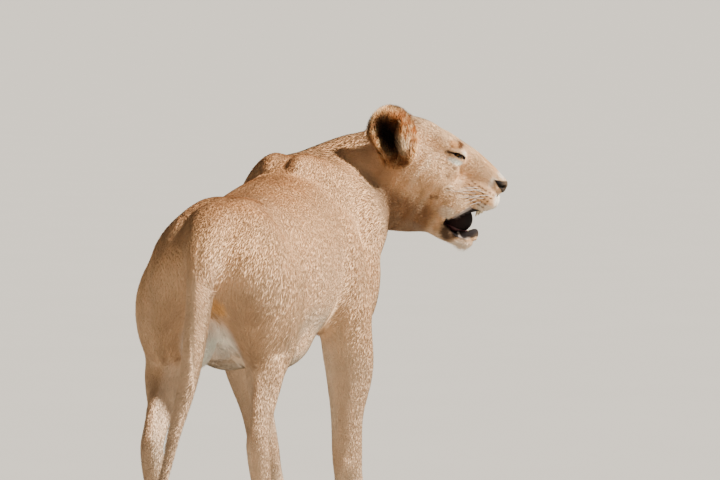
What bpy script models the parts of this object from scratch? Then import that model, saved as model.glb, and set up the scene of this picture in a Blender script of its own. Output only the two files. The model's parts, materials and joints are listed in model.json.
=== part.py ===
"""A life-size lioness, standing and looking to her right with her mouth a little open.

The body is one smooth blend of anatomical forms: the trunk, the limbs, the muscles over them and the
head. It is meshed through Blender's OpenVDB, thinned with Decimate, stood on flat soles and parted with
thin cuts where a person would name its parts. Metres, +Z up. She faces -Y, so her right side is at -X.
"""

import math

import bmesh
import bpy
import numpy as np
import openvdb
from mathutils import Matrix, Vector
from mathutils.bvhtree import BVHTree

# Driving dimensions
WITHERS_Z = 0.925  # top of the shoulder blades
RUMP_Z = 0.836  # top of the hips
ELBOW_Z = 0.46
KNEE_Z = 0.475
HOCK_Z = 0.27
WRIST_Z = 0.17
HIP_HALF_WIDTH = 0.085  # hip joints from the middle plane
NOSE_TIP = (-0.485, -0.62, 0.831)
HEAD_TURN = 87.0  # degrees, from straight ahead to her right
HEAD_DIP = 24.0  # degrees that the face points below level
EYE_RADIUS = 0.0185
EYE_PLACE = (-0.1435, 0.0460, 0.0180)  # along the head, sideways, up

# Meshing
CELL = 0.0055
FAR = 1.0
REACH = 0.075  # how far from its surface a form can blend with others
CENTRE_SHIFT = (0.1329, 0.0661)  # puts the middle of the box over the origin
BODY_TRIANGLES = 4700
CUT_WIDTH = 0.0006

# Colours as (red, green, blue), roughness
COAT = ((0.60, 0.37, 0.19), 0.85)
PALE_COAT = ((0.74, 0.60, 0.44), 0.85)
EAR_COAT = ((0.50, 0.27, 0.11), 0.85)
TUFT_COAT = ((0.05, 0.03, 0.02), 0.9)
EYE_AMBER = ((0.45, 0.24, 0.05), 0.15)
TONGUE_PINK = ((0.45, 0.16, 0.14), 0.4)
IVORY = ((0.80, 0.72, 0.55), 0.35)


# ---------------------------------------------------------------- field tools


def unit(vector):
    vector = np.asarray(vector, float)
    return vector / np.linalg.norm(vector)


def smooth_path(stations, steps):
    """Stations, as rows of numbers, joined by a Catmull-Rom curve with steps rows to each gap."""
    rows = np.asarray(stations, float)
    rows = np.vstack([2 * rows[0] - rows[1], rows, 2 * rows[-1] - rows[-2]])
    made = []
    for i in range(1, len(rows) - 2):
        before, start, end, after = rows[i - 1 : i + 3]
        for t in np.linspace(0, 1, steps, endpoint=False):
            made.append(
                0.5 * (2 * start + (end - before) * t
                       + (2 * before - 5 * start + 4 * end - after) * t**2
                       + (3 * start - before - 3 * end + after) * t**3)
            )
    made.append(rows[-2])
    return np.array(made)


class Ellipsoid:
    """An ellipsoid with radii along three axes, given as the rows of a rotation."""

    def __init__(self, centre, radii, axes=None):
        self.centre = np.asarray(centre, float)
        self.radii = np.asarray(radii, float)
        self.axes = np.eye(3) if axes is None else np.asarray(axes, float)
        reach = np.sqrt(((self.radii[:, None] * self.axes) ** 2).sum(0)) + REACH
        self.low, self.high = self.centre - reach, self.centre + reach

    def distance(self, x, y, z):
        p = [x - self.centre[0], y - self.centre[1], z - self.centre[2]]
        near, steep = 0.0, 0.0
        for axis, radius in zip(self.axes, self.radii):
            along = p[0] * axis[0] + p[1] * axis[1] + p[2] * axis[2]
            near = near + (along / radius) ** 2
            steep = steep + (along / radius**2) ** 2
        near = np.sqrt(near)
        return near * (near - 1) / np.maximum(np.sqrt(steep), 1e-6)


class Segment:
    """A tapering length of a limb. Its section is an ellipse with its own radii to the side, up and down."""

    def __init__(self, start, end, side):
        self.start, self.end = np.asarray(start[:3], float), np.asarray(end[:3], float)
        self.first, self.last = np.asarray(start[3:6], float), np.asarray(end[3:6], float)
        self.length = max(float(np.linalg.norm(self.end - self.start)), 1e-6)
        self.along = (self.end - self.start) / self.length
        self.side = unit(np.asarray(side, float) - np.dot(side, self.along) * self.along)
        self.up = np.cross(self.side, self.along)
        reach = max(self.first.max(), self.last.max()) + REACH
        self.low = np.minimum(self.start, self.end) - reach
        self.high = np.maximum(self.start, self.end) + reach

    def distance(self, x, y, z):
        p = [x - self.start[0], y - self.start[1], z - self.start[2]]

        def part(axis):
            return p[0] * axis[0] + p[1] * axis[1] + p[2] * axis[2]

        run = part(self.along)
        share = np.clip(run / self.length, 0, 1)
        beyond = run - share * self.length
        across, above = part(self.side), part(self.up)
        wide, top, bottom = [
            self.first[i] + (self.last[i] - self.first[i]) * share for i in range(3)
        ]
        tall = np.where(above > 0, top, bottom)
        cap = np.minimum(wide, tall)
        near = np.sqrt((across / wide) ** 2 + (above / tall) ** 2 + (beyond / cap) ** 2)
        steep = np.sqrt(
            (across / wide**2) ** 2 + (above / tall**2) ** 2 + (beyond / cap**2) ** 2
        )
        return near * (near - 1) / np.maximum(steep, 1e-6)


class Tube:
    """A limb through stations of x, y, z, side radius, upper radius and lower radius."""

    def __init__(self, stations, side=(1, 0, 0), steps=5):
        rows = smooth_path(stations, steps)
        self.segments = [Segment(a, b, side) for a, b in zip(rows, rows[1:])]
        self.low = np.min([s.low for s in self.segments], axis=0)
        self.high = np.max([s.high for s in self.segments], axis=0)


class Field:
    """The distance to the animal's surface, negative inside, on a regular grid."""

    def __init__(self, low, high, cell):
        self.cell, self.low = cell, np.asarray(low, float)
        counts = np.ceil((np.asarray(high, float) - self.low) / cell).astype(int) + 1
        self.axes = [
            (self.low[i] + cell * np.arange(counts[i])).astype(np.float32) for i in range(3)
        ]
        self.values = np.full(counts, FAR, np.float32)

    def window(self, low, high, axes):
        """The slices of the grid between two corners, and its coordinates there."""
        cuts, found = [], []
        for i in range(3):
            first = int(np.searchsorted(axes[i], low[i]))
            last = int(np.searchsorted(axes[i], high[i]))
            cuts.append(slice(first, last))
            found.append(axes[i][first:last].reshape([-1 if j == i else 1 for j in range(3)]))
        return tuple(cuts), found

    def sample(self, form):
        """A form's slices of the grid and its distances there."""
        cuts, (x, y, z) = self.window(form.low, form.high, self.axes)
        if not isinstance(form, Tube):
            return cuts, form.distance(x, y, z).astype(np.float32)
        axes = [a[c] for a, c in zip(self.axes, cuts)]
        values = np.full([len(a) for a in axes], FAR, np.float32)
        for segment in form.segments:
            inner, (x, y, z) = self.window(segment.low, segment.high, axes)
            if all(s.stop > s.start for s in inner):
                values[inner] = np.minimum(values[inner], segment.distance(x, y, z))
        return cuts, values

    def add(self, form, blend=0.02):
        """Joins a form to the field, with a fillet about as wide as blend."""
        cuts, values = self.sample(form)
        if values.size:
            old = self.values[cuts]
            share = np.maximum(blend - np.abs(old - values), 0) / blend
            self.values[cuts] = np.minimum(old, values) - share**2 * blend / 4

    def carve(self, form, blend=0.01):
        """Takes a form out of the field, with a rounded edge."""
        cuts, values = self.sample(form)
        if values.size:
            old, values = self.values[cuts], -values
            share = np.maximum(blend - np.abs(old - values), 0) / blend
            self.values[cuts] = np.maximum(old, values) + share**2 * blend / 4

    def soften(self, times):
        """Blurs the field a little, which melts the joints between the forms."""
        for _ in range(times):
            for axis in range(3):
                ahead, behind = np.roll(self.values, 1, axis), np.roll(self.values, -1, axis)
                self.values = (ahead + 2 * self.values + behind) / 4

    def mesh(self, name):
        """The field's surface as a mesh, through OpenVDB."""
        grid = openvdb.FloatGrid(FAR)
        grid.copyFromArray(self.values)
        grid.transform = openvdb.createLinearTransform(voxelSize=self.cell)
        points, quads = grid.convertToQuads(isovalue=0.0)
        made = bpy.data.meshes.new(name)
        made.from_pydata((points + self.low).tolist(), [], quads[:, ::-1].tolist())
        made.update()
        return made


def muscle(start, end, wide, thick, flat=(1, 0, 0)):
    """An ellipsoid from start to end: thick along flat, and wide across both."""
    start, end = np.asarray(start, float), np.asarray(end, float)
    along = unit(end - start)
    thin = unit(np.asarray(flat, float) - np.dot(flat, along) * along)
    axes = np.array([along, thin, np.cross(along, thin)])
    return Ellipsoid((start + end) / 2, (np.linalg.norm(end - start) / 2, thick, wide), axes)


# ---------------------------------------------------------------- trunk


def add_trunk(field):
    """The barrel of the body, from the breastbone to the seat. up and down are from the widest level."""
    #             y      z      wide   up     down
    stations = [(-0.555, 0.690, 0.070, 0.080, 0.085),
                (-0.500, 0.690, 0.110, 0.140, 0.150),
                (-0.400, 0.690, 0.140, 0.192, 0.205),
                (-0.280, 0.680, 0.160, WITHERS_Z - 0.045 - 0.680, 0.230),
                (-0.120, 0.660, 0.174, 0.205, 0.224),
                (0.030, 0.652, 0.178, 0.191, 0.206),
                (0.160, 0.655, 0.162, 0.182, 0.210),
                (0.270, 0.680, 0.122, RUMP_Z - 0.684, 0.160),
                (0.370, 0.690, 0.092, 0.135, 0.120),
                (0.450, 0.690, 0.062, 0.098, 0.080)]
    rows = [(0, y, z, wide, up, down) for y, z, wide, up, down in stations]
    field.add(Tube(rows), 0.03)
    for side in (-1, 1):  # the full belly, which hangs between the flanks
        field.add(Ellipsoid((0.052 * side, 0.020, 0.482), (0.070, 0.205, 0.068)), 0.04)


def add_shoulder(field, side):
    """The shoulder blade and the muscles from it to the elbow, on one side."""
    fore = -0.010 if side > 0 else 0.0  # the left foreleg is the one in front
    blade_top = (0.052 * side, -0.310, WITHERS_Z - 0.036)
    point = (0.146 * side, -0.490 + fore, 0.670)
    elbow = (0.152 * side, -0.345 + fore, ELBOW_Z + 0.02)
    field.add(muscle(blade_top, point, 0.088, 0.046), 0.05)
    field.add(Ellipsoid((0.034 * side, -0.300, WITHERS_Z - 0.044), (0.025, 0.075, 0.036)), 0.04)
    field.add(muscle((0.118 * side, -0.300, 0.770), elbow, 0.086, 0.056), 0.045)
    front_arm = ((0.138 * side, -0.500 + fore, 0.760), (0.162 * side, -0.390 + fore, 0.490))
    field.add(muscle(*front_arm, 0.074, 0.052), 0.04)
    brisket = ((0.030 * side, -0.545, 0.660), (0.125 * side, -0.430 + fore, 0.500))
    field.add(muscle(*brisket, 0.062, 0.052), 0.04)


def add_hip(field, side, knee):
    """The rump and thigh of one side, down to the knee."""
    hip = np.array([HIP_HALF_WIDTH * side, 0.350, 0.690])
    knee = np.array(knee)
    seat = np.array([0.050 * side, 0.455, 0.700])
    field.add(Ellipsoid((0.040 * side, 0.270, RUMP_Z - 0.050), (0.042, 0.085, 0.044)), 0.05)
    field.add(muscle((0.060 * side, 0.250, 0.758), (0.083 * side, 0.430, 0.625), 0.096, 0.049), 0.05)
    rows = [(*hip, 0.072, 0.105, 0.120),
            (*(hip * 0.62 + knee * 0.38 + (0.014 * side, 0, 0)), 0.080, 0.100, 0.125),
            (*(hip * 0.28 + knee * 0.72 + (0.010 * side, 0, 0)), 0.068, 0.080, 0.100),
            (*knee, 0.050, 0.058, 0.062)]
    field.add(Tube(rows), 0.05)
    calf = knee + np.array([0.0, 0.085, -0.045])
    field.add(muscle(seat + (0.010 * side, -0.01, 0.03), calf, 0.062, 0.054), 0.045)
    if side > 0:  # this thigh bears more weight and bulges above the knee, outwards and inwards
        field.add(muscle((0.140, 0.330, 0.660), (0.168, 0.235, 0.480), 0.080, 0.044), 0.045)
        field.add(Ellipsoid((0.052, 0.350, 0.525), (0.052, 0.060, 0.078)), 0.025)
    fold = knee + np.array([-0.018 * side, -0.020, -0.010])
    field.add(muscle((0.115 * side, knee[1] - 0.060, 0.600), fold, 0.075, 0.026), 0.05)


# ---------------------------------------------------------------- limbs


def add_paw(field, ball, turn, wide, long):
    """Four toes and a heel round the ball of a foot, turned outwards by turn degrees."""
    angle = math.radians(turn)
    ahead = np.array([math.sin(angle), -math.cos(angle), 0.0])
    across = np.array([math.cos(angle), math.sin(angle), 0.0])
    ball = np.array(ball, float)
    axes = np.array([across, ahead, (0, 0, 1)])

    def at(sideways, forward, height):
        place = ball + sideways * across + forward * ahead
        return (place[0], place[1], height)

    field.add(Ellipsoid(at(0, 0.012, 0.030), (wide * 0.46, long * 0.36, 0.036), axes), 0.03)
    toes = ((-0.375, 0.22), (-0.135, 0.36), (0.135, 0.36), (0.375, 0.22))
    for sideways, forward in toes:
        root = at(sideways * wide * 0.8, forward * long * 0.35, 0.046)
        tip = at(sideways * wide, forward * long + 0.012, 0.020)
        rows = [(*root, 0.0200, 0.0230, 0.0260),
                (*at(sideways * wide * 0.95, forward * long * 0.75, 0.038), 0.0205, 0.0225, 0.0320),
                (*tip, 0.0185, 0.0170, 0.0220)]
        field.add(Tube(rows, side=across, steps=3), 0.010)


def add_foreleg(field, side, elbow, wrist, ball, turn):
    """The forearm, wrist and forepaw."""
    elbow, wrist, ball = (np.array(p, float) for p in (elbow, wrist, ball))
    rows = [(*(elbow + (0.0, 0.010, 0.050)), 0.062, 0.072, 0.064),
            (*elbow, 0.066, 0.070, 0.064),
            (*(elbow * 0.72 + wrist * 0.28 + (0.004 * side, -0.008, 0)), 0.061, 0.061, 0.058),
            (*(elbow * 0.35 + wrist * 0.65), 0.043, 0.045, 0.047),
            (*wrist, 0.040, 0.038, 0.042),
            (*(wrist * 0.5 + ball * 0.5), 0.037, 0.033, 0.034),
            (*ball, 0.043, 0.034, 0.034)]
    field.add(Tube(rows), 0.035)
    field.add(muscle(elbow + (0.018 * side, -0.020, 0.030), elbow * 0.5 + wrist * 0.5, 0.038, 0.034), 0.03)
    field.add(Ellipsoid(elbow + (0.0, 0.044, 0.022), (0.026, 0.026, 0.034)), 0.025)
    field.add(Ellipsoid(wrist + (0.0, 0.030, -0.016), (0.017, 0.014, 0.020)), 0.015)
    add_paw(field, (ball[0], ball[1], 0), turn, 0.112, 0.138)


def add_hind_leg(field, side, knee, hock, ball, turn):
    """The shank, hock, long foot and hind paw."""
    knee, hock, ball = (np.array(p, float) for p in (knee, hock, ball))
    rows = [(*knee, 0.048, 0.058, 0.062),
            (*(knee * 0.78 + hock * 0.22), 0.044, 0.050, 0.056),
            (*(knee * 0.48 + hock * 0.52), 0.034, 0.038, 0.042),
            (*(knee * 0.20 + hock * 0.80), 0.026, 0.031, 0.034),
            (*hock, 0.027, 0.031, 0.034),
            (*(hock * 0.55 + ball * 0.45), 0.026, 0.028, 0.030),
            (*(hock * 0.15 + ball * 0.85), 0.030, 0.029, 0.030),
            (*(ball + (0, -0.010, 0.0)), 0.036, 0.029, 0.028)]
    field.add(Tube(rows), 0.03)
    heel = hock + (0.0, 0.030, 0.022)
    field.add(muscle(knee * 0.70 + hock * 0.30 + (0.0, 0.052, 0.030), heel, 0.024, 0.019), 0.035)
    calf = (knee + (0.004 * side, 0.052, 0.020), knee * 0.45 + hock * 0.55 + (0, 0.022, 0.01))
    field.add(muscle(*calf, 0.044, 0.038), 0.03)
    field.add(muscle(heel + (0, 0, 0.018), hock * 0.62 + ball * 0.38 + (0, 0.014, 0), 0.019, 0.018), 0.025)
    field.add(Ellipsoid(knee + (0.0, -0.024, 0.016), (0.034, 0.034, 0.046)), 0.04)
    add_paw(field, (ball[0], ball[1], 0), turn, 0.098, 0.128)


TAIL_STATIONS = [(0.000, 0.380, 0.778, 0.052),
                 (0.000, 0.455, 0.752, 0.045),
                 (-0.004, 0.508, 0.700, 0.038),
                 (-0.008, 0.535, 0.630, 0.034),
                 (0.000, 0.545, 0.540, 0.030),
                 (0.018, 0.545, 0.430, 0.025),
                 (0.046, 0.545, 0.330, 0.020),
                 (0.068, 0.543, 0.240, 0.016),
                 (0.084, 0.550, 0.175, 0.017)]
TUFT_STATIONS = [(0.084, 0.550, 0.175, 0.018),
                 (0.092, 0.557, 0.135, 0.028),
                 (0.098, 0.566, 0.092, 0.027),
                 (0.100, 0.574, 0.055, 0.014),
                 (0.100, 0.578, 0.038, 0.006)]


def add_tail(field):
    """The hanging tail and its tuft, both round in section."""
    for stations in (TAIL_STATIONS, TUFT_STATIONS):
        field.add(Tube([(x, y, z, r, r, r) for x, y, z, r in stations]), 0.02)


# ---------------------------------------------------------------- neck and head


class HeadFrame:
    """Places in the head: forward along the face from the nose tip, to its left, and up."""

    def __init__(self):
        turn, dip = math.radians(HEAD_TURN), math.radians(HEAD_DIP)
        level = np.array([-math.sin(turn), -math.cos(turn), 0.0])
        self.forward = unit(level * math.cos(dip) - np.array([0, 0, math.sin(dip)]))
        self.left = unit(np.cross((0, 0, 1), level))
        self.up = np.cross(self.forward, self.left)
        self.origin = np.array(NOSE_TIP)

    def at(self, forward, left, up):
        return self.origin + forward * self.forward + left * self.left + up * self.up

    def axes(self, pitch=0.0, yaw=0.0):
        """The head's axes, nose lifted by pitch degrees and turned left by yaw degrees."""
        pitch, yaw = math.radians(pitch), math.radians(yaw)
        ahead = self.forward * math.cos(yaw) + self.left * math.sin(yaw)
        left = self.left * math.cos(yaw) - self.forward * math.sin(yaw)
        forward = ahead * math.cos(pitch) + self.up * math.sin(pitch)
        return np.array([forward, left, np.cross(forward, left)])

    def ball(self, place, radii, pitch=0.0, yaw=0.0):
        return Ellipsoid(self.at(*place), radii, self.axes(pitch, yaw))

    def tube(self, stations, steps=4):
        """A tube through stations of forward, left, up, side radius, upper radius and lower radius."""
        rows = [(*self.at(*row[:3]), *row[3:]) for row in stations]
        return Tube(rows, side=self.left, steps=steps)


HEAD = HeadFrame()
NECK_STATIONS = [(0.000, -0.400, 0.760, 0.125, 0.138, 0.165),
                 (-0.012, -0.490, 0.785, 0.124, 0.130, 0.155),
                 (-0.052, -0.570, 0.815, 0.112, 0.122, 0.145),
                 (-0.120, -0.612, 0.845, 0.098, 0.116, 0.138),
                 (-0.200, -0.620, 0.862, 0.086, 0.104, 0.130)]


def add_neck(field):
    """The neck, which bends to her right, with its muscles bunched on that side."""
    rows = smooth_path(NECK_STATIONS, 4)
    for i, (start, end) in enumerate(zip(rows, rows[1:])):
        side = np.cross(end[:3] - start[:3], (0, 0, 1))
        field.add(Segment(start, end, side), 0.006 if i else 0.05)
    field.add(muscle((-0.055, -0.380, 0.845), (-0.160, -0.555, 0.715), 0.090, 0.055), 0.05)
    field.add(Ellipsoid((-0.138, -0.500, 0.745), (0.062, 0.075, 0.085)), 0.05)
    field.add(muscle((0.060, -0.390, 0.820), (0.050, -0.585, 0.780), 0.090, 0.052), 0.05)


def add_head(field):
    """Skull, face and upper jaw, then the lower jaw, dropped open."""
    head = HEAD
    field.add(head.ball((-0.272, 0, -0.034), (0.085, 0.082, 0.088)), 0.05)
    field.add(head.ball((-0.205, 0, -0.016), (0.072, 0.064, 0.068)), 0.03)
    palate = [(-0.210, 0, -0.060, 0.072, 0.050, 0.045),
              (-0.140, 0, -0.052, 0.060, 0.045, 0.036),
              (-0.080, 0, -0.048, 0.046, 0.035, 0.026),
              (-0.045, 0, -0.048, 0.036, 0.030, 0.024)]
    field.add(head.tube(palate), 0.02)
    for side in (-1, 1):
        bridge = [(-0.190, 0.018 * side, 0.006, 0.030, 0.042, 0.05),
                  (-0.120, 0.015 * side, -0.002, 0.024, 0.037, 0.05),
                  (-0.060, 0.013 * side, -0.010, 0.019, 0.035, 0.04),
                  (-0.026, 0.012 * side, -0.016, 0.018, 0.031, 0.03)]
        field.add(head.tube(bridge), 0.018)
        field.add(head.ball((-0.176, 0.040 * side, 0.022), (0.042, 0.024, 0.028), -8), 0.022)
        field.add(head.ball((-0.205, 0.068 * side, -0.052), (0.072, 0.034, 0.048)), 0.035)
        field.add(head.ball((-0.147, 0.0435 * side, 0.017), (0.0215, 0.0215, 0.0205)), 0.018)
        field.add(head.ball((-0.235, 0.060 * side, -0.115), (0.066, 0.042, 0.068)), 0.035)
        field.add(head.ball((-0.048, 0.027 * side, -0.056), (0.046, 0.029, 0.034)), 0.012)
        field.add(head.ball((-0.085, 0.042 * side, -0.082), (0.046, 0.019, 0.036), 20), 0.016)
        field.add(head.ball((-0.118, 0.056 * side, -0.104), (0.050, 0.026, 0.050), 10), 0.025)
    field.add(head.ball((-0.020, 0, -0.011), (0.020, 0.030, 0.022)), 0.010)
    field.add(head.ball((-0.215, 0, -0.142), (0.095, 0.064, 0.076)), 0.045)
    add_lower_jaw(field, head)


def add_lower_jaw(field, head):
    """The gape between the jaws is cut first, then the lower jaw, its lip and chin are put back in it."""
    gape = [(-0.092, 0, -0.146, 0.080, 0.012, 0.010),
            (-0.066, 0, -0.138, 0.080, 0.026, 0.026),
            (-0.040, 0, -0.130, 0.080, 0.036, 0.036),
            (0.010, 0, -0.125, 0.080, 0.040, 0.044)]
    field.carve(head.tube(gape, 3), 0.010)
    throat = [(-0.170, 0, -0.130, 0.030, 0.018, 0.016),
              (-0.120, 0, -0.134, 0.034, 0.018, 0.018),
              (-0.080, 0, -0.136, 0.036, 0.022, 0.020)]
    field.carve(head.tube(throat, 3), 0.010)
    for side in (-1, 1):
        arm = [(-0.200, 0.058 * side, -0.140, 0.026, 0.034, 0.040),
               (-0.130, 0.048 * side, -0.162, 0.020, 0.026, 0.030),
               (-0.090, 0.036 * side, -0.170, 0.016, 0.020, 0.024),
               (-0.060, 0.024 * side, -0.174, 0.014, 0.013, 0.020),
               (-0.040, 0.012 * side, -0.168, 0.015, 0.020, 0.022)]
        field.add(head.tube(arm), 0.012)
    field.add(head.ball((-0.120, 0, -0.180), (0.085, 0.040, 0.014), -2), 0.02)
    field.add(head.ball((-0.040, 0, -0.168), (0.022, 0.024, 0.027)), 0.012)


def add_ears(field):
    """Round ears, each a thick cup that opens outwards."""
    for side in (-1, 1):
        drop = 0.0 if side < 0 else -0.014
        place = (-0.301, 0.091 * side, 0.002 + drop)
        field.add(HEAD.ball(place, (0.063, 0.034, 0.079), 35, -10 * side), 0.016)
        hollow = (-0.290, 0.128 * side, 0.002 + drop)
        field.carve(HEAD.ball(hollow, (0.042, 0.040, 0.060), 35, -10 * side), 0.008)


# ---------------------------------------------------------------- stance

RIGHT, LEFT = -1, 1
RIGHT_KNEE, LEFT_KNEE = (-0.079, 0.182, KNEE_Z + 0.010), (0.150, 0.200, KNEE_Z - 0.005)
RIGHT_HOCK, LEFT_HOCK = (-0.084, 0.310, HOCK_Z), (0.130, 0.440, HOCK_Z)
RIGHT_HIND_BALL, LEFT_HIND_BALL = (-0.086, 0.240, 0.045), (0.130, 0.382, 0.045)
RIGHT_ELBOW, LEFT_ELBOW = (-0.138, -0.348, ELBOW_Z), (0.134, -0.390, ELBOW_Z)
RIGHT_WRIST, LEFT_WRIST = (-0.130, -0.385, WRIST_Z), (0.104, -0.480, WRIST_Z)
RIGHT_FORE_BALL, LEFT_FORE_BALL = (-0.130, -0.420, 0.045), (0.100, -0.540, 0.045)


def lioness_field():
    field = Field((-0.58, -0.80, -0.03), (0.26, 0.66, 1.08), CELL)
    add_trunk(field)
    for side, knee in ((RIGHT, RIGHT_KNEE), (LEFT, LEFT_KNEE)):
        add_shoulder(field, side)
        add_hip(field, side, knee)
    add_foreleg(field, RIGHT, RIGHT_ELBOW, RIGHT_WRIST, RIGHT_FORE_BALL, -6)
    add_foreleg(field, LEFT, LEFT_ELBOW, LEFT_WRIST, LEFT_FORE_BALL, 6)
    add_hind_leg(field, RIGHT, RIGHT_KNEE, RIGHT_HOCK, RIGHT_HIND_BALL, -8)
    add_hind_leg(field, LEFT, LEFT_KNEE, LEFT_HOCK, LEFT_HIND_BALL, 8)
    add_tail(field)
    add_neck(field)
    add_head(field)
    add_ears(field)
    field.soften(2)
    return field


# ---------------------------------------------------------------- nodes


def clear_scene():
    for obj in list(bpy.data.objects):
        bpy.data.objects.remove(obj)


def material(name, finish):
    colour, roughness = finish
    made = bpy.data.materials.new(name)
    made.use_nodes = True
    shader = made.node_tree.nodes["Principled BSDF"]
    shader.inputs["Base Color"].default_value = (*colour, 1)
    shader.inputs["Roughness"].default_value = roughness
    made.diffuse_color = (*colour, 1)
    return made


def linked(name, mesh, collection, finish=None):
    obj = bpy.data.objects.new(name, mesh)
    collection.objects.link(obj)
    if finish:
        mesh.materials.clear()
        mesh.materials.append(material(name, finish))
    return obj


def helper(name, mesh, cutters):
    obj = linked(name, mesh, cutters)
    obj.hide_render = True
    obj.display_type = "WIRE"
    return obj


def mesh_of(shape, name):
    made = bpy.data.meshes.new(name)
    shape.to_mesh(made)
    shape.free()
    return made


def plate(name, place, normal, wide, tall, up=(0, 0, 1)):
    """A thin sheet to part the body with, square to normal."""
    normal = Vector(normal).normalized()
    across = Vector(up).cross(normal).normalized()
    turn = Matrix((across, normal.cross(across), normal)).transposed().to_4x4()
    shape = bmesh.new()
    bmesh.ops.create_cube(shape, size=1)
    size = Matrix.Diagonal((wide, tall, CUT_WIDTH, 1))
    shape.transform(Matrix.Translation(Vector(place)) @ turn @ size)
    return mesh_of(shape, name)


def ball_mesh(name, place, radii, axes=None, rings=16):
    shape = bmesh.new()
    bmesh.ops.create_uvsphere(shape, u_segments=2 * rings, v_segments=rings, radius=1)
    turn = Matrix(np.eye(3) if axes is None else axes).transposed().to_4x4()
    size = Matrix.Diagonal((*radii, 1))
    shape.transform(Matrix.Translation(Vector(place)) @ turn @ size)
    return mesh_of(shape, name)


def tooth_mesh(name, root, tip, radius):
    """A curved canine from its root in the gum to its tip."""
    shape = bmesh.new()
    root, tip = Vector(root), Vector(tip)
    bend = Vector(HEAD.forward.tolist()) * radius * 0.6
    rings = []
    for share in (0.0, 0.35, 0.7, 0.92):
        middle = root.lerp(tip, share) + bend * math.sin(share * math.pi)
        along = (tip - root).normalized()
        side = along.cross(Vector(HEAD.forward.tolist())).normalized()
        other = along.cross(side)
        size = radius * (1 - share**1.6) ** 0.8 + 0.0003
        rings.append([shape.verts.new(middle + (side * math.cos(a) + other * math.sin(a)) * size)
                      for a in (k * math.pi / 5 for k in range(10))])
    for low, high in zip(rings, rings[1:]):
        for k in range(10):
            shape.faces.new((low[k], low[k - 1], high[k - 1], high[k]))
    shape.faces.new(rings[0])
    end = shape.verts.new(tip)
    for k in range(10):
        shape.faces.new((rings[-1][k], rings[-1][k - 1], end))
    bmesh.ops.recalc_face_normals(shape, faces=shape.faces)
    return mesh_of(shape, name)


def applied(obj):
    """The object's mesh with its modifiers applied."""
    graph = bpy.context.evaluated_depsgraph_get()
    return bpy.data.meshes.new_from_object(obj.evaluated_get(graph))


def less(obj, cutter):
    """Takes the cutter out of the object's mesh."""
    modifier = obj.modifiers.new("cut", "BOOLEAN")
    modifier.operation, modifier.solver, modifier.object = "DIFFERENCE", "EXACT", cutter
    obj.data = applied(obj)
    obj.modifiers.clear()


def islands(mesh):
    """The separate bodies of a mesh, each as its own bmesh."""
    shape = bmesh.new()
    shape.from_mesh(mesh)
    seen, found = set(), []
    for first in shape.verts:
        if first.index in seen:
            continue
        group, open_set = [], [first]
        seen.add(first.index)
        while open_set:
            vert = open_set.pop()
            group.append(vert)
            for edge in vert.link_edges:
                other = edge.other_vert(vert)
                if other.index not in seen:
                    seen.add(other.index)
                    open_set.append(other)
        found.append({v.index for v in group})
    shape.free()
    pieces = []
    for group in found:
        piece = bmesh.new()
        piece.from_mesh(mesh)
        bmesh.ops.delete(piece, geom=[v for v in piece.verts if v.index not in group], context="VERTS")
        pieces.append(piece)
    return pieces


#        name, a point in it, finish
PIECES = [
    ("head", HEAD.at(-0.22, 0, -0.02), COAT),
    ("lower_jaw", HEAD.at(-0.040, 0, -0.175), PALE_COAT),
    ("ear_left", HEAD.at(-0.330, 0.112, 0.030), EAR_COAT),
    ("ear_right", HEAD.at(-0.350, -0.112, 0.030), EAR_COAT),
    ("neck", (-0.10, -0.60, 0.85), COAT),
    ("shoulders", (0.0, -0.35, 0.75), COAT),
    ("barrel", (0.0, 0.0, 0.65), COAT),
    ("haunches", (0.0, 0.30, 0.72), COAT),
    ("foreleg_left", (0.120, -0.430, 0.32), COAT),
    ("foreleg_right", (-0.136, -0.366, 0.32), COAT),
    ("forepaw_left", (0.100, -0.560, 0.03), PALE_COAT),
    ("forepaw_right", (-0.130, -0.440, 0.03), PALE_COAT),
    ("shank_left", (0.127, 0.330, 0.36), COAT),
    ("shank_right", (-0.090, 0.230, 0.36), COAT),
    ("hind_foot_left", (0.124, 0.400, 0.13), PALE_COAT),
    ("hind_foot_right", (-0.086, 0.265, 0.13), PALE_COAT),
    ("tail_upper", (0.000, 0.545, 0.54), COAT),
    ("tail_lower", (0.046, 0.541, 0.33), COAT),
    ("tail_tuft", (0.096, 0.562, 0.11), TUFT_COAT),
]


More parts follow.
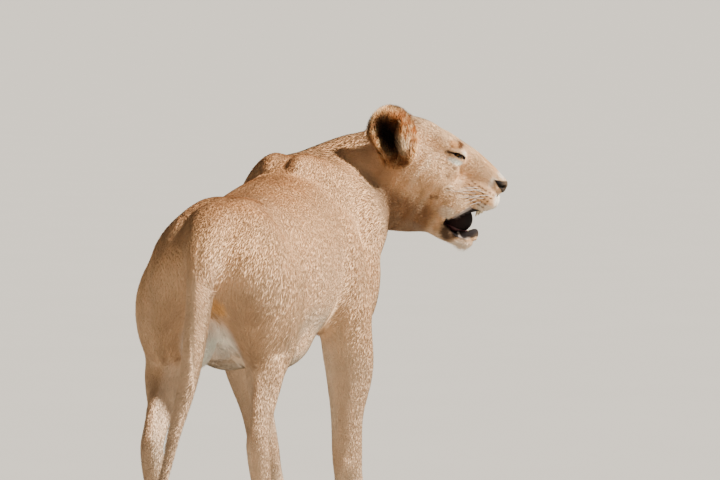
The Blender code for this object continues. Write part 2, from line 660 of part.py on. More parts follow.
def part_cuts():
    """The thin plates that part the body: a name, a point, what it is square to, and its size."""
    return [
        ("jaw", HEAD.at(-0.130, 0, -0.180), HEAD.forward * 0.59 - HEAD.up * 0.81, 0.22, 0.16),
        ("head", (-0.140, -0.620, 0.875), (-1.0, -0.05, 0.0), 0.38, 0.42),
        ("neck", (-0.070, -0.530, 0.800), (-0.45, -0.75, 0.48), 0.60, 0.60),
        ("barrel_front", (0.0, -0.180, 0.650), (0.0, 1.0, 0.12), 0.60, 0.70),
        ("barrel_back", (0.0, 0.070, 0.650), (0.0, 1.0, -0.20), 0.60, 0.70),
        ("elbow_left", (0.134, -0.395, 0.425), (0.0, -0.25, 1.0), 0.17, 0.20),
        ("elbow_right", (-0.142, -0.355, 0.425), (0.0, -0.10, 1.0), 0.17, 0.20),
        ("wrist_left", (0.104, -0.490, 0.130), (0.0, -0.4, 1.0), 0.14, 0.16),
        ("wrist_right", (-0.130, -0.395, 0.130), (0.0, -0.2, 1.0), 0.14, 0.16),
        ("knee_left", (0.137, 0.262, 0.405), (0.0, -0.45, 1.0), 0.20, 0.30),
        ("knee_right", (-0.083, 0.232, 0.415), (0.0, -0.45, 1.0), 0.17, 0.30),
        ("hock_left", (0.130, 0.430, 0.225), (0.0, 0.3, 1.0), 0.12, 0.14),
        ("hock_right", (-0.085, 0.300, 0.225), (0.0, 0.3, 1.0), 0.12, 0.14),
        ("tail_root", (-0.007, 0.537, 0.615), (0.0, 0.1, -1.0), 0.12, 0.11),
        ("tail_middle", (0.018, 0.545, 0.430), (0.15, 0.0, -1.0), 0.12, 0.12),
        ("tuft", (0.084, 0.550, 0.170), (0.2, 0.1, -1.0), 0.12, 0.12),
    ]


def ear_shell(side):
    """A thin egg round one ear, which parts it from the head."""
    place, radii = HEAD.at(-0.301, 0.124 * side, 0.004), (0.087, 0.064, 0.102)
    shell = bmesh.new()
    for shrink in (0.0, CUT_WIDTH):
        inner = ball_mesh("shell", place, [r - shrink for r in radii], HEAD.axes(35), 8)
        if shrink:
            inner.flip_normals()
        shell.from_mesh(inner)
    made = bpy.data.meshes.new("ear_shell")
    shell.to_mesh(made)
    shell.free()
    return made


def split_body(body, cutters):
    """Cuts the body at the floor, with the plates and round the ears."""
    slab = bmesh.new()
    bmesh.ops.create_cube(slab, size=1)
    slab.transform(Matrix.Translation((0, 0, -0.1)) @ Matrix.Diagonal((3, 3, 0.2, 1)))
    less(body, helper("floor_cut", mesh_of(slab, "floor_cut"), cutters))
    for name, place, normal, wide, tall in part_cuts():
        up = (0, 1, 0) if abs(normal[2]) > 0.8 else (0, 0, 1)
        cut = plate(name + "_cut", place, normal, wide, tall, up)
        less(body, helper(name + "_cut", cut, cutters))
    for side in (-1, 1):
        less(body, helper("ear_cut", ear_shell(side), cutters))


def is_inside(tree, place):
    """Whether a place lies in the closed body of a tree, by the surfaces that a ray from it crosses."""
    ray, crossed = Vector((0.31, 0.17, 0.93)).normalized(), 0
    while True:
        spot, _, _, _ = tree.ray_cast(place, ray)
        if spot is None:
            return crossed % 2 == 1
        crossed += 1
        place = spot + ray * 1e-5


def keep_largest(obj):
    """Drops the slivers that a cut may leave beside the main body."""
    max(islands(obj.data), key=lambda piece: piece.calc_volume()).to_mesh(obj.data)


def name_pieces(body, collection):
    """Makes a node of each piece of the body, named by the marked point that lies inside it."""
    pieces = islands(body.data)
    trees = [BVHTree.FromBMesh(piece) for piece in pieces]
    used = set()
    for name, place, finish in PIECES:
        inside = [i for i, tree in enumerate(trees) if is_inside(tree, Vector(place))]
        if len(inside) != 1 or inside[0] in used:
            raise ValueError(f"{name} is not a piece of its own: {inside}")
        chosen = inside[0]
        used.add(chosen)
        mesh = bpy.data.meshes.new(name)
        bmesh.ops.triangulate(pieces[chosen], faces=pieces[chosen].faces)
        pieces[chosen].to_mesh(mesh)
        linked(name, mesh, collection, finish)
    if len(used) < len(pieces):
        raise ValueError(f"{len(pieces) - len(used)} pieces have no name")


def main():
    clear_scene()
    collection = bpy.data.collections.new("lioness")
    cutters = bpy.data.collections.new("cutters")
    for made in (collection, cutters):
        bpy.context.scene.collection.children.link(made)
    cutters.hide_render = True
    body = helper("body", lioness_field().mesh("body"), cutters)
    thin = body.modifiers.new("thin", "DECIMATE")
    triangles = sum(len(face.vertices) - 2 for face in body.data.polygons)
    thin.ratio = BODY_TRIANGLES / triangles
    thin.use_collapse_triangulate = True
    body.data = applied(body)
    body.modifiers.clear()
    split_body(body, cutters)
    name_pieces(body, collection)
    add_eyes(collection, cutters)
    add_mouth(collection, cutters)
    for name in ("head", "lower_jaw"):
        keep_largest(collection.objects[name])
    for obj in collection.objects:
        obj.data.transform(Matrix.Translation((*CENTRE_SHIFT, 0)))


def add_eyes(collection, cutters):
    head = collection.objects["head"]
    for name, side in (("left", 1), ("right", -1)):
        place = HEAD.at(EYE_PLACE[0], EYE_PLACE[1] * side, EYE_PLACE[2])
        socket = ball_mesh(f"socket_{name}", place, [EYE_RADIUS + 0.0006] * 3, HEAD.axes(), 8)
        less(head, helper(f"socket_{name}", socket, cutters))
        eye = ball_mesh(f"eye_{name}", place, [EYE_RADIUS] * 3, HEAD.axes(), 8)
        linked(f"eye_{name}", eye, collection, EYE_AMBER)


CANINES = [  # root, tip, radius; the left one of each pair
    ("canine_upper", (-0.046, 0.022, -0.072), (-0.036, 0.024, -0.116), 0.0065),
    ("canine_lower", (-0.050, 0.017, -0.172), (-0.038, 0.020, -0.133), 0.0058),
]


def add_mouth(collection, cutters):
    """The tongue and the four canine teeth, each in its own bed."""
    place, radii = HEAD.at(-0.088, 0, -0.137), (0.043, 0.024, 0.028)
    axes = HEAD.axes(-6)
    bed = ball_mesh("tongue_bed", place, [r + 0.0008 for r in radii], axes, 8)
    bed = helper("tongue_bed", bed, cutters)
    for name in ("head", "lower_jaw"):
        less(collection.objects[name], bed)
    linked("tongue", ball_mesh("tongue", place, radii, axes, 8), collection, TONGUE_PINK)
    for kind, root, tip, radius in CANINES:
        flesh = collection.objects["head" if kind.endswith("upper") else "lower_jaw"]
        for name, side in (("left", 1), ("right", -1)):
            ends = [HEAD.at(p[0], p[1] * side, p[2]) for p in (root, tip)]
            deeper = ends[0] - (ends[1] - ends[0]) * 0.03
            bed = tooth_mesh(f"{kind}_bed_{name}", deeper, ends[1], radius + 0.0007)
            less(flesh, helper(f"{kind}_bed_{name}", bed, cutters))
            tooth = tooth_mesh(f"{kind}_{name}", *ends, radius)
            linked(f"{kind}_{name}", tooth, collection, IVORY)


if __name__ == "__main__":
    main()
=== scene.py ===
"""The looks of a life-size lioness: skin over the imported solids, coat, eyes, mouth and whiskers.

The skin repeats the solids' anatomy on a finer grid and lies inside them by the coat's depth, apart
from the ears and the details of the face. The coat is short tufts, each a thin closed spike, laid
along the body from the nose backwards and down the limbs.
Metres, +Z up. She faces -Y, so her right side is at -X.
"""

import json
import math

import bmesh
import bpy
import numpy as np
import openvdb
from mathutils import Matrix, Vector

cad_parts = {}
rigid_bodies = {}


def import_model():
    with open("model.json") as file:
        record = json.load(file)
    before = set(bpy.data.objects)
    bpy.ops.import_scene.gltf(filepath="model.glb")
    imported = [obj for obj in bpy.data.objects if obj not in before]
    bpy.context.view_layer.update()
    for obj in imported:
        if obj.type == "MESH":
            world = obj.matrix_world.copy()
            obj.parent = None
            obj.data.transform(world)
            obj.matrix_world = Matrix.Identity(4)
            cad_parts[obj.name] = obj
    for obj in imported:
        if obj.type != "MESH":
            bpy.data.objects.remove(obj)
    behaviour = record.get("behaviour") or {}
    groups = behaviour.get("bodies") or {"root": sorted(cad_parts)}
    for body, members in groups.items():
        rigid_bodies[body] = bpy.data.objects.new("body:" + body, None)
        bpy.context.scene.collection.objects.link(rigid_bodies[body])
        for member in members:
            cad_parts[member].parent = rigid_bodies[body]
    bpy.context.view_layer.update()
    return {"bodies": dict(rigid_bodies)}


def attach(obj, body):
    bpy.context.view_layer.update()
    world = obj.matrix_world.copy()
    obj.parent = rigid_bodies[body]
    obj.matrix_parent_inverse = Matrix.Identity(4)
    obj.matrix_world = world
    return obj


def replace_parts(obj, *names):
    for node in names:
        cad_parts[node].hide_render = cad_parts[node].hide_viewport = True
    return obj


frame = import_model()

RIGHT, LEFT = SIDES = (-1, 1)
SIDE_NAMES = {"left": LEFT, "right": RIGHT}

# Driving dimensions, the same as the solids'
WITHERS_Z = 0.925
RUMP_Z = 0.836
ELBOW_Z = 0.46
KNEE_Z = 0.475
HOCK_Z = 0.27
WRIST_Z = 0.17
HIP_HALF_WIDTH = 0.085
NOSE_TIP = (-0.485, -0.62, 0.831)
HEAD_TURN = 87.0
HEAD_DIP = 24.0
EYE_RADIUS = 0.0185
CENTRE_SHIFT = np.array((0.1329, 0.0661, 0.0))

# Places that differ from the solids'
EYE_PLACE = (-0.1395, 0.0456, 0.0150)  # 5 mm from theirs: forward, aside, up
EAR_DROP = {RIGHT: 0.0, LEFT: 0.024}  # how much lower than the right ear each is set
EAR_MASK_DROP = {RIGHT: 0.0, LEFT: 0.014}  # the same, for the region that counts as ear

# Meshing
CELL = 0.0050  # the whole body
FINE_CELL = CELL / 2  # the head and paws, and the grid that is meshed
FAR = 1.0
REACH = 0.075  # how far from its surface a form can blend with others
BAND = 0.03  # how far from the surface the field is kept
SOFTENING = 2
SKIN_DETAIL = 0.02  # how much flat skin is thinned, from 0 for none
BODY_WINDOW = ((-0.58, -0.80, -0.03), (0.26, 0.66, 1.08))
FINE_WINDOWS = [((-0.555, -0.755, 0.600), (-0.135, -0.470, 1.060), True),  # the head, with its face
                ((-0.210, -0.640, -0.020), (0.180, -0.380, 0.130), False),  # the forepaws
                ((-0.160, 0.140, -0.020), (0.200, 0.430, 0.130), False)]  # the hind paws
WINDOW_FADE = 0.015


# ---------------------------------------------------------------- field tools


def unit(vector):
    vector = np.asarray(vector, float)
    return vector / np.linalg.norm(vector)


def smooth_path(stations, steps):
    """Stations, as rows of numbers, joined by a Catmull-Rom curve with steps rows to each gap."""
    rows = np.asarray(stations, float)
    rows = np.vstack([2 * rows[0] - rows[1], rows, 2 * rows[-1] - rows[-2]])
    made = []
    for i in range(1, len(rows) - 2):
        before, start, end, after = rows[i - 1 : i + 3]
        for t in np.linspace(0, 1, steps, endpoint=False):
            made.append(
                0.5 * (2 * start + (end - before) * t
                       + (2 * before - 5 * start + 4 * end - after) * t**2
                       + (3 * start - before - 3 * end + after) * t**3)
            )
    made.append(rows[-2])
    return np.array(made)


class Ellipsoid:
    """An ellipsoid with radii along three axes, given as the rows of a rotation."""

    def __init__(self, centre, radii, axes=None):
        self.centre = np.asarray(centre, float)
        self.radii = np.asarray(radii, float)
        self.axes = np.eye(3) if axes is None else np.asarray(axes, float)
        reach = np.sqrt(((self.radii[:, None] * self.axes) ** 2).sum(0)) + REACH
        self.low, self.high = self.centre - reach, self.centre + reach

    def distance(self, x, y, z):
        p = [x - self.centre[0], y - self.centre[1], z - self.centre[2]]
        near, steep = 0.0, 0.0
        for axis, radius in zip(self.axes, self.radii):
            along = p[0] * axis[0] + p[1] * axis[1] + p[2] * axis[2]
            near = near + (along / radius) ** 2
            steep = steep + (along / radius**2) ** 2
        near = np.sqrt(near)
        return near * (near - 1) / np.maximum(np.sqrt(steep), 1e-6)


class Segment:
    """A tapering length of a limb. Its section has its own radii to the side, up and down."""

    def __init__(self, start, end, side):
        self.start, self.end = np.asarray(start[:3], float), np.asarray(end[:3], float)
        self.first, self.last = np.asarray(start[3:6], float), np.asarray(end[3:6], float)
        self.length = max(float(np.linalg.norm(self.end - self.start)), 1e-6)
        self.along = (self.end - self.start) / self.length
        self.side = unit(np.asarray(side, float) - np.dot(side, self.along) * self.along)
        self.up = np.cross(self.side, self.along)
        reach = max(self.first.max(), self.last.max()) + REACH
        self.low = np.minimum(self.start, self.end) - reach
        self.high = np.maximum(self.start, self.end) + reach

    def distance(self, x, y, z):
        p = [x - self.start[0], y - self.start[1], z - self.start[2]]

        def part(axis):
            return p[0] * axis[0] + p[1] * axis[1] + p[2] * axis[2]

        run = part(self.along)
        share = np.clip(run / self.length, 0, 1)
        beyond = run - share * self.length
        across, above = part(self.side), part(self.up)
        wide, top, bottom = [
            self.first[i] + (self.last[i] - self.first[i]) * share for i in range(3)
        ]
        tall = np.where(above > 0, top, bottom)
        cap = np.minimum(wide, tall)
        near = np.sqrt((across / wide) ** 2 + (above / tall) ** 2 + (beyond / cap) ** 2)
        steep = np.sqrt(
            (across / wide**2) ** 2 + (above / tall**2) ** 2 + (beyond / cap**2) ** 2
        )
        return near * (near - 1) / np.maximum(steep, 1e-6)


class Tube:
    """A limb through stations of x, y, z, side radius, upper radius and lower radius."""

    def __init__(self, stations, side=(1, 0, 0), steps=5):
        rows = smooth_path(stations, steps)
        self.segments = [Segment(a, b, side) for a, b in zip(rows, rows[1:])]
        self.low = np.min([s.low for s in self.segments], axis=0)
        self.high = np.max([s.high for s in self.segments], axis=0)


class Field:
    """The distance to the animal's surface, negative inside, on a regular grid."""

    def __init__(self, low, high, cell):
        self.cell, self.low = cell, np.asarray(low, float)
        counts = np.ceil((np.asarray(high, float) - self.low) / cell).astype(int) + 1
        self.axes = [
            (self.low[i] + cell * np.arange(counts[i])).astype(np.float32) for i in range(3)
        ]
        self.values = np.full(counts, FAR, np.float32)

    def window(self, low, high, axes):
        """The slices of the grid between two corners, and its coordinates there."""
        cuts, found = [], []
        for i in range(3):
            first = int(np.searchsorted(axes[i], low[i]))
            last = int(np.searchsorted(axes[i], high[i]))
            cuts.append(slice(first, last))
            found.append(axes[i][first:last].reshape([-1 if j == i else 1 for j in range(3)]))
        return tuple(cuts), found

    def sample(self, form):
        """A form's slices of the grid and its distances there."""
        cuts, (x, y, z) = self.window(form.low, form.high, self.axes)
        if not isinstance(form, Tube):
            return cuts, form.distance(x, y, z).astype(np.float32)
        axes = [a[c] for a, c in zip(self.axes, cuts)]
        values = np.full([len(a) for a in axes], FAR, np.float32)
        for segment in form.segments:
            inner, (x, y, z) = self.window(segment.low, segment.high, axes)
            if all(s.stop > s.start for s in inner):
                values[inner] = np.minimum(values[inner], segment.distance(x, y, z))
        return cuts, values

    def add(self, form, blend=0.02):
        """Joins a form to the field, with a fillet about as wide as blend."""
        cuts, values = self.sample(form)
        if values.size:
            old = self.values[cuts]
            share = np.maximum(blend - np.abs(old - values), 0) / blend
            self.values[cuts] = np.minimum(old, values) - share**2 * blend / 4

    def carve(self, form, blend=0.01):
        """Takes a form out of the field, with a rounded edge."""
        cuts, values = self.sample(form)
        if values.size:
            old, values = self.values[cuts], -values
            share = np.maximum(blend - np.abs(old - values), 0) / blend
            self.values[cuts] = np.maximum(old, values) + share**2 * blend / 4

    def soften(self, times):
        """Blurs the field a little, which melts the joints between the forms."""
        for _ in range(times):
            for axis in range(3):
                ahead, behind = np.roll(self.values, 1, axis), np.roll(self.values, -1, axis)
                self.values = (ahead + 2 * self.values + behind) / 4


class Trimmed:
    """A form with another taken out of it before it joins the field."""

    def __init__(self, form, cutter, blend):
        self.form, self.cutter, self.blend = form, cutter, blend
        self.low, self.high = form.low, form.high

    def distance(self, x, y, z):
        kept, cut = self.form.distance(x, y, z), -self.cutter.distance(x, y, z)
        share = np.maximum(self.blend - np.abs(kept - cut), 0) / self.blend
        return np.maximum(kept, cut) + share**2 * self.blend / 4


def muscle(start, end, wide, thick, flat=(1, 0, 0)):
    """An ellipsoid from start to end: thick along flat, and wide across both."""
    start, end = np.asarray(start, float), np.asarray(end, float)
    along = unit(end - start)
    thin = unit(np.asarray(flat, float) - np.dot(flat, along) * along)
    axes = np.array([along, thin, np.cross(along, thin)])
    return Ellipsoid((start + end) / 2, (np.linalg.norm(end - start) / 2, thick, wide), axes)


# ---------------------------------------------------------------- trunk


def add_trunk(field):
    """The barrel, from the breastbone to the seat. up and down are from the widest level."""
    #             y      z      wide   up     down
    stations = [(-0.555, 0.690, 0.070, 0.080, 0.085),
                (-0.500, 0.690, 0.110, 0.140, 0.150),
                (-0.400, 0.690, 0.140, 0.192, 0.205),
                (-0.280, 0.680, 0.160, WITHERS_Z - 0.045 - 0.680, 0.230),
                (-0.120, 0.660, 0.174, 0.205, 0.224),
                (0.030, 0.652, 0.178, 0.191, 0.206),
                (0.160, 0.655, 0.162, 0.182, 0.210),
                (0.270, 0.680, 0.122, RUMP_Z - 0.684, 0.160),
                (0.370, 0.690, 0.092, 0.135, 0.120),
                (0.450, 0.690, 0.062, 0.098, 0.080)]
    field.add(Tube([(0, *row) for row in stations]), 0.03)
    for side in SIDES:  # the full belly, which hangs between the flanks
        field.add(Ellipsoid((0.052 * side, 0.020, 0.482), (0.070, 0.205, 0.068)), 0.04)


def add_shoulder(field, side):
    """The shoulder blade and the muscles from it to the elbow, on one side."""
    fore = -0.010 if side > 0 else 0.0  # the left foreleg is the one in front
    blade_top = (0.052 * side, -0.310, WITHERS_Z - 0.036)
    point = (0.146 * side, -0.490 + fore, 0.670)
    elbow = (0.152 * side, -0.345 + fore, ELBOW_Z + 0.02)
    field.add(muscle(blade_top, point, 0.088, 0.046), 0.05)
    field.add(Ellipsoid((0.034 * side, -0.300, WITHERS_Z - 0.044), (0.025, 0.075, 0.036)), 0.04)
    field.add(muscle((0.118 * side, -0.300, 0.770), elbow, 0.086, 0.056), 0.045)
    front_arm = ((0.138 * side, -0.500 + fore, 0.760), (0.162 * side, -0.390 + fore, 0.490))
    field.add(muscle(*front_arm, 0.074, 0.052), 0.04)
    brisket = ((0.030 * side, -0.545, 0.660), (0.125 * side, -0.430 + fore, 0.500))
    field.add(muscle(*brisket, 0.062, 0.052), 0.04)


def add_hip(field, side, knee):
    """The rump and thigh of one side, down to the knee."""
    hip = np.array([HIP_HALF_WIDTH * side, 0.350, 0.690])
    knee = np.array(knee)
    seat = np.array([0.050 * side, 0.455, 0.700])
    field.add(Ellipsoid((0.040 * side, 0.270, RUMP_Z - 0.050), (0.042, 0.085, 0.044)), 0.05)
    croup = ((0.060 * side, 0.250, 0.758), (0.083 * side, 0.430, 0.625))
    field.add(muscle(*croup, 0.096, 0.049), 0.05)
    rows = [(*hip, 0.072, 0.105, 0.120),
            (*(hip * 0.62 + knee * 0.38 + (0.014 * side, 0, 0)), 0.080, 0.100, 0.125),
            (*(hip * 0.28 + knee * 0.72 + (0.010 * side, 0, 0)), 0.068, 0.080, 0.100),
            (*knee, 0.050, 0.058, 0.062)]
    field.add(Tube(rows), 0.05)
    calf = knee + np.array([0.0, 0.085, -0.045])
    field.add(muscle(seat + (0.010 * side, -0.01, 0.03), calf, 0.062, 0.054), 0.045)
    if side > 0:  # this thigh bears more weight and bulges above the knee, outwards and inwards
        field.add(muscle((0.140, 0.330, 0.660), (0.168, 0.235, 0.480), 0.080, 0.044), 0.045)
        field.add(Ellipsoid((0.052, 0.350, 0.525), (0.052, 0.060, 0.078)), 0.025)
    fold = knee + np.array([-0.018 * side, -0.020, -0.010])
    field.add(muscle((0.115 * side, knee[1] - 0.060, 0.600), fold, 0.075, 0.026), 0.05)


# ---------------------------------------------------------------- limbs


def add_paw(field, ball, turn, wide, long):
    """Four toes and a heel round the ball of a foot, turned outwards by turn degrees."""
    angle = math.radians(turn)
    ahead = np.array([math.sin(angle), -math.cos(angle), 0.0])
    across = np.array([math.cos(angle), math.sin(angle), 0.0])
    ball = np.array(ball, float)
    axes = np.array([across, ahead, (0, 0, 1)])

    def at(sideways, forward, height):
        place = ball + sideways * across + forward * ahead
        return (place[0], place[1], height)

    field.add(Ellipsoid(at(0, 0.012, 0.030), (wide * 0.46, long * 0.36, 0.036), axes), 0.03)
    toes = ((-0.375, 0.22), (-0.135, 0.36), (0.135, 0.36), (0.375, 0.22))
    for sideways, forward in toes:
        root = at(sideways * wide * 0.8, forward * long * 0.35, 0.046)
        tip = at(sideways * wide, forward * long + 0.012, 0.020)
        rows = [(*root, 0.0200, 0.0230, 0.0260),
                (*at(sideways * wide * 0.95, forward * long * 0.75, 0.038), 0.0205, 0.0225, 0.0320),
                (*tip, 0.0185, 0.0170, 0.0220)]
        field.add(Tube(rows, side=across, steps=3), 0.010)


def add_foreleg(field, side, elbow, wrist, ball, turn):
    """The forearm, wrist and forepaw."""
    elbow, wrist, ball = (np.array(p, float) for p in (elbow, wrist, ball))
    rows = [(*(elbow + (0.0, 0.010, 0.050)), 0.062, 0.072, 0.064),
            (*elbow, 0.066, 0.070, 0.064),
            (*(elbow * 0.72 + wrist * 0.28 + (0.004 * side, -0.008, 0)), 0.061, 0.061, 0.058),
            (*(elbow * 0.35 + wrist * 0.65), 0.043, 0.045, 0.047),
            (*wrist, 0.040, 0.038, 0.042),
            (*(wrist * 0.5 + ball * 0.5), 0.037, 0.033, 0.034),
            (*ball, 0.043, 0.034, 0.034)]
    field.add(Tube(rows), 0.035)
    forearm = (elbow + (0.018 * side, -0.020, 0.030), elbow * 0.5 + wrist * 0.5)
    field.add(muscle(*forearm, 0.038, 0.034), 0.03)
    field.add(Ellipsoid(elbow + (0.0, 0.044, 0.022), (0.026, 0.026, 0.034)), 0.025)
    field.add(Ellipsoid(wrist + (0.0, 0.030, -0.016), (0.017, 0.014, 0.020)), 0.015)
    add_paw(field, (ball[0], ball[1], 0), turn, 0.112, 0.138)


def add_hind_leg(field, side, knee, hock, ball, turn):
    """The shank, hock, long foot and hind paw."""
    knee, hock, ball = (np.array(p, float) for p in (knee, hock, ball))
    rows = [(*knee, 0.048, 0.058, 0.062),
            (*(knee * 0.78 + hock * 0.22), 0.044, 0.050, 0.056),
            (*(knee * 0.48 + hock * 0.52), 0.034, 0.038, 0.042),
            (*(knee * 0.20 + hock * 0.80), 0.026, 0.031, 0.034),
            (*hock, 0.027, 0.031, 0.034),
            (*(hock * 0.55 + ball * 0.45), 0.026, 0.028, 0.030),
            (*(hock * 0.15 + ball * 0.85), 0.030, 0.029, 0.030),
            (*(ball + (0, -0.010, 0.0)), 0.036, 0.029, 0.028)]
    field.add(Tube(rows), 0.03)
    heel = hock + (0.0, 0.030, 0.022)
    field.add(muscle(knee * 0.70 + hock * 0.30 + (0.0, 0.052, 0.030), heel, 0.024, 0.019), 0.035)
    calf = (knee + (0.004 * side, 0.052, 0.020), knee * 0.45 + hock * 0.55 + (0, 0.022, 0.01))
    field.add(muscle(*calf, 0.044, 0.038), 0.03)
    sinew = (heel + (0, 0, 0.018), hock * 0.62 + ball * 0.38 + (0, 0.014, 0))
    field.add(muscle(*sinew, 0.019, 0.018), 0.025)
    field.add(Ellipsoid(knee + (0.0, -0.024, 0.016), (0.034, 0.034, 0.046)), 0.04)
    add_paw(field, (ball[0], ball[1], 0), turn, 0.098, 0.128)


TAIL_STATIONS = [(0.000, 0.380, 0.778, 0.052),
                 (0.000, 0.455, 0.752, 0.045),
                 (-0.004, 0.508, 0.700, 0.038),
                 (-0.008, 0.535, 0.630, 0.034),
                 (0.000, 0.545, 0.540, 0.030),
                 (0.018, 0.545, 0.430, 0.025),
                 (0.046, 0.545, 0.330, 0.020),
                 (0.068, 0.543, 0.240, 0.016),
                 (0.084, 0.550, 0.175, 0.017)]
TUFT_STATIONS = [(0.084, 0.550, 0.175, 0.018),
                 (0.092, 0.557, 0.135, 0.028),
                 (0.098, 0.566, 0.092, 0.027),
                 (0.100, 0.574, 0.055, 0.014),
                 (0.100, 0.578, 0.038, 0.006)]


def add_tail(field):
    """The hanging tail and its tuft, both round in section."""
    for stations in (TAIL_STATIONS, TUFT_STATIONS):
        field.add(Tube([(x, y, z, r, r, r) for x, y, z, r in stations]), 0.02)


# ---------------------------------------------------------------- neck and head


class HeadFrame:
    """Places in the head: forward along the face from the nose tip, to its left, and up."""

    def __init__(self):
        turn, dip = math.radians(HEAD_TURN), math.radians(HEAD_DIP)
        level = np.array([-math.sin(turn), -math.cos(turn), 0.0])
        self.forward = unit(level * math.cos(dip) - np.array([0, 0, math.sin(dip)]))
        self.left = unit(np.cross((0, 0, 1), level))
        self.up = np.cross(self.forward, self.left)
        self.origin = np.array(NOSE_TIP)

    def at(self, forward, left, up):
        return self.origin + forward * self.forward + left * self.left + up * self.up

    def axes(self, pitch=0.0, yaw=0.0):
        """The head's axes, nose lifted by pitch degrees and turned left by yaw degrees."""
        pitch, yaw = math.radians(pitch), math.radians(yaw)
        ahead = self.forward * math.cos(yaw) + self.left * math.sin(yaw)
        left = self.left * math.cos(yaw) - self.forward * math.sin(yaw)
        forward = ahead * math.cos(pitch) + self.up * math.sin(pitch)
        return np.array([forward, left, np.cross(forward, left)])

    def ball(self, place, radii, pitch=0.0, yaw=0.0):
        return Ellipsoid(self.at(*place), radii, self.axes(pitch, yaw))

    def tube(self, stations, steps=4):
        """A tube through stations of forward, left, up, and side, upper and lower radius."""
        rows = [(*self.at(*row[:3]), *row[3:]) for row in stations]
        return Tube(rows, side=self.left, steps=steps)


HEAD = HeadFrame()
NECK_STATIONS = [(0.000, -0.400, 0.760, 0.125, 0.138, 0.165),
                 (-0.012, -0.490, 0.785, 0.124, 0.130, 0.155),
                 (-0.052, -0.570, 0.815, 0.112, 0.122, 0.145),
                 (-0.120, -0.612, 0.845, 0.098, 0.116, 0.138),
                 (-0.200, -0.620, 0.862, 0.086, 0.104, 0.130)]


# Balls: place, radii, pitch and blend. Tubes: forward, left, up, and side, upper and lower radius.
SKULL_BALLS = [((-0.272, 0, -0.034), (0.085, 0.082, 0.088), 0, 0.05),
               ((-0.205, 0, -0.016), (0.072, 0.064, 0.068), 0, 0.03)]
FACE_BALLS = [((-0.176, 0.040, 0.022), (0.042, 0.024, 0.028), -8, 0.022),
              ((-0.205, 0.068, -0.052), (0.072, 0.034, 0.048), 0, 0.035),
              ((-0.147, 0.0435, 0.017), (0.0215, 0.0215, 0.0205), 0, 0.018),
              ((-0.235, 0.060, -0.115), (0.066, 0.042, 0.068), 0, 0.035),
              ((-0.048, 0.027, -0.056), (0.046, 0.029, 0.034), 0, 0.012),
              ((-0.085, 0.042, -0.082), (0.046, 0.019, 0.036), 20, 0.016),
              ((-0.118, 0.056, -0.104), (0.050, 0.026, 0.050), 10, 0.025)]
SNOUT_BALLS = [((-0.020, 0, -0.011), (0.020, 0.030, 0.022), 0, 0.010),
               ((-0.215, 0, -0.142), (0.095, 0.064, 0.076), 0, 0.045)]
CHIN_BALLS = [((-0.120, 0, -0.180), (0.085, 0.040, 0.014), -2, 0.02),
              ((-0.040, 0, -0.168), (0.022, 0.024, 0.027), 0, 0.012)]
NOSE_BALLS = [((-0.0170, 0, -0.0045), (0.0170, 0.0270, 0.0125), 0, 0.004),
              ((-0.0125, 0, -0.0160), (0.0115, 0.0165, 0.0105), 0, 0.004)]
PALATE = [(-0.210, 0, -0.060, 0.072, 0.050, 0.045),
          (-0.140, 0, -0.052, 0.060, 0.045, 0.036),
          (-0.080, 0, -0.048, 0.046, 0.035, 0.026),
          (-0.045, 0, -0.048, 0.036, 0.030, 0.024)]
BRIDGE = [(-0.190, 0.018, 0.006, 0.030, 0.042, 0.05),
          (-0.120, 0.015, -0.002, 0.024, 0.037, 0.05),
          (-0.060, 0.013, -0.010, 0.019, 0.035, 0.04),
          (-0.026, 0.012, -0.016, 0.018, 0.031, 0.03)]
GAPE = [(-0.092, 0, -0.146, 0.080, 0.012, 0.010),
        (-0.066, 0, -0.138, 0.080, 0.026, 0.026),
        (-0.040, 0, -0.130, 0.080, 0.036, 0.036),
        (0.010, 0, -0.125, 0.080, 0.040, 0.044)]
THROAT = [(-0.170, 0, -0.130, 0.030, 0.018, 0.016),
          (-0.120, 0, -0.134, 0.034, 0.018, 0.018),
          (-0.080, 0, -0.136, 0.036, 0.022, 0.020)]
JAW_ARM = [(-0.200, 0.058, -0.140, 0.026, 0.034, 0.040),
           (-0.130, 0.048, -0.162, 0.020, 0.026, 0.030),
           (-0.090, 0.036, -0.170, 0.016, 0.020, 0.024),
           (-0.060, 0.024, -0.174, 0.014, 0.013, 0.020),
           (-0.040, 0.012, -0.168, 0.015, 0.020, 0.022)]
JAW_DIP = [(-0.094, 0, -0.146, 0.080, 0.010, 0.008),
           (-0.068, 0, -0.150, 0.080, 0.014, 0.018),
           (-0.036, 0, -0.148, 0.080, 0.014, 0.016)]
LOWER_LIP = [(-0.062, 0.0250, -0.163, 0.005, 0.006, 0.008),
             (-0.042, 0.0200, -0.157, 0.006, 0.008, 0.010),
             (-0.029, 0.0110, -0.151, 0.008, 0.011, 0.014),
             (-0.025, 0.0000, -0.150, 0.009, 0.012, 0.015)]
NOSTRIL_SLIT = [(-0.004, 0.0190, -0.0100, 0.0030, 0.0030, 0.0030),
                (-0.014, 0.0275, -0.0105, 0.0028, 0.0028, 0.0028),
                (-0.023, 0.0310, -0.0090, 0.0020, 0.0020, 0.0020)]
BROW_CREASE = [(-0.174, 0.028, 0.063, 0.0035, 0.0035, 0.0035),
               (-0.158, 0.040, 0.056, 0.0035, 0.0040, 0.0040),
               (-0.139, 0.043, 0.043, 0.0030, 0.0030, 0.0030)]


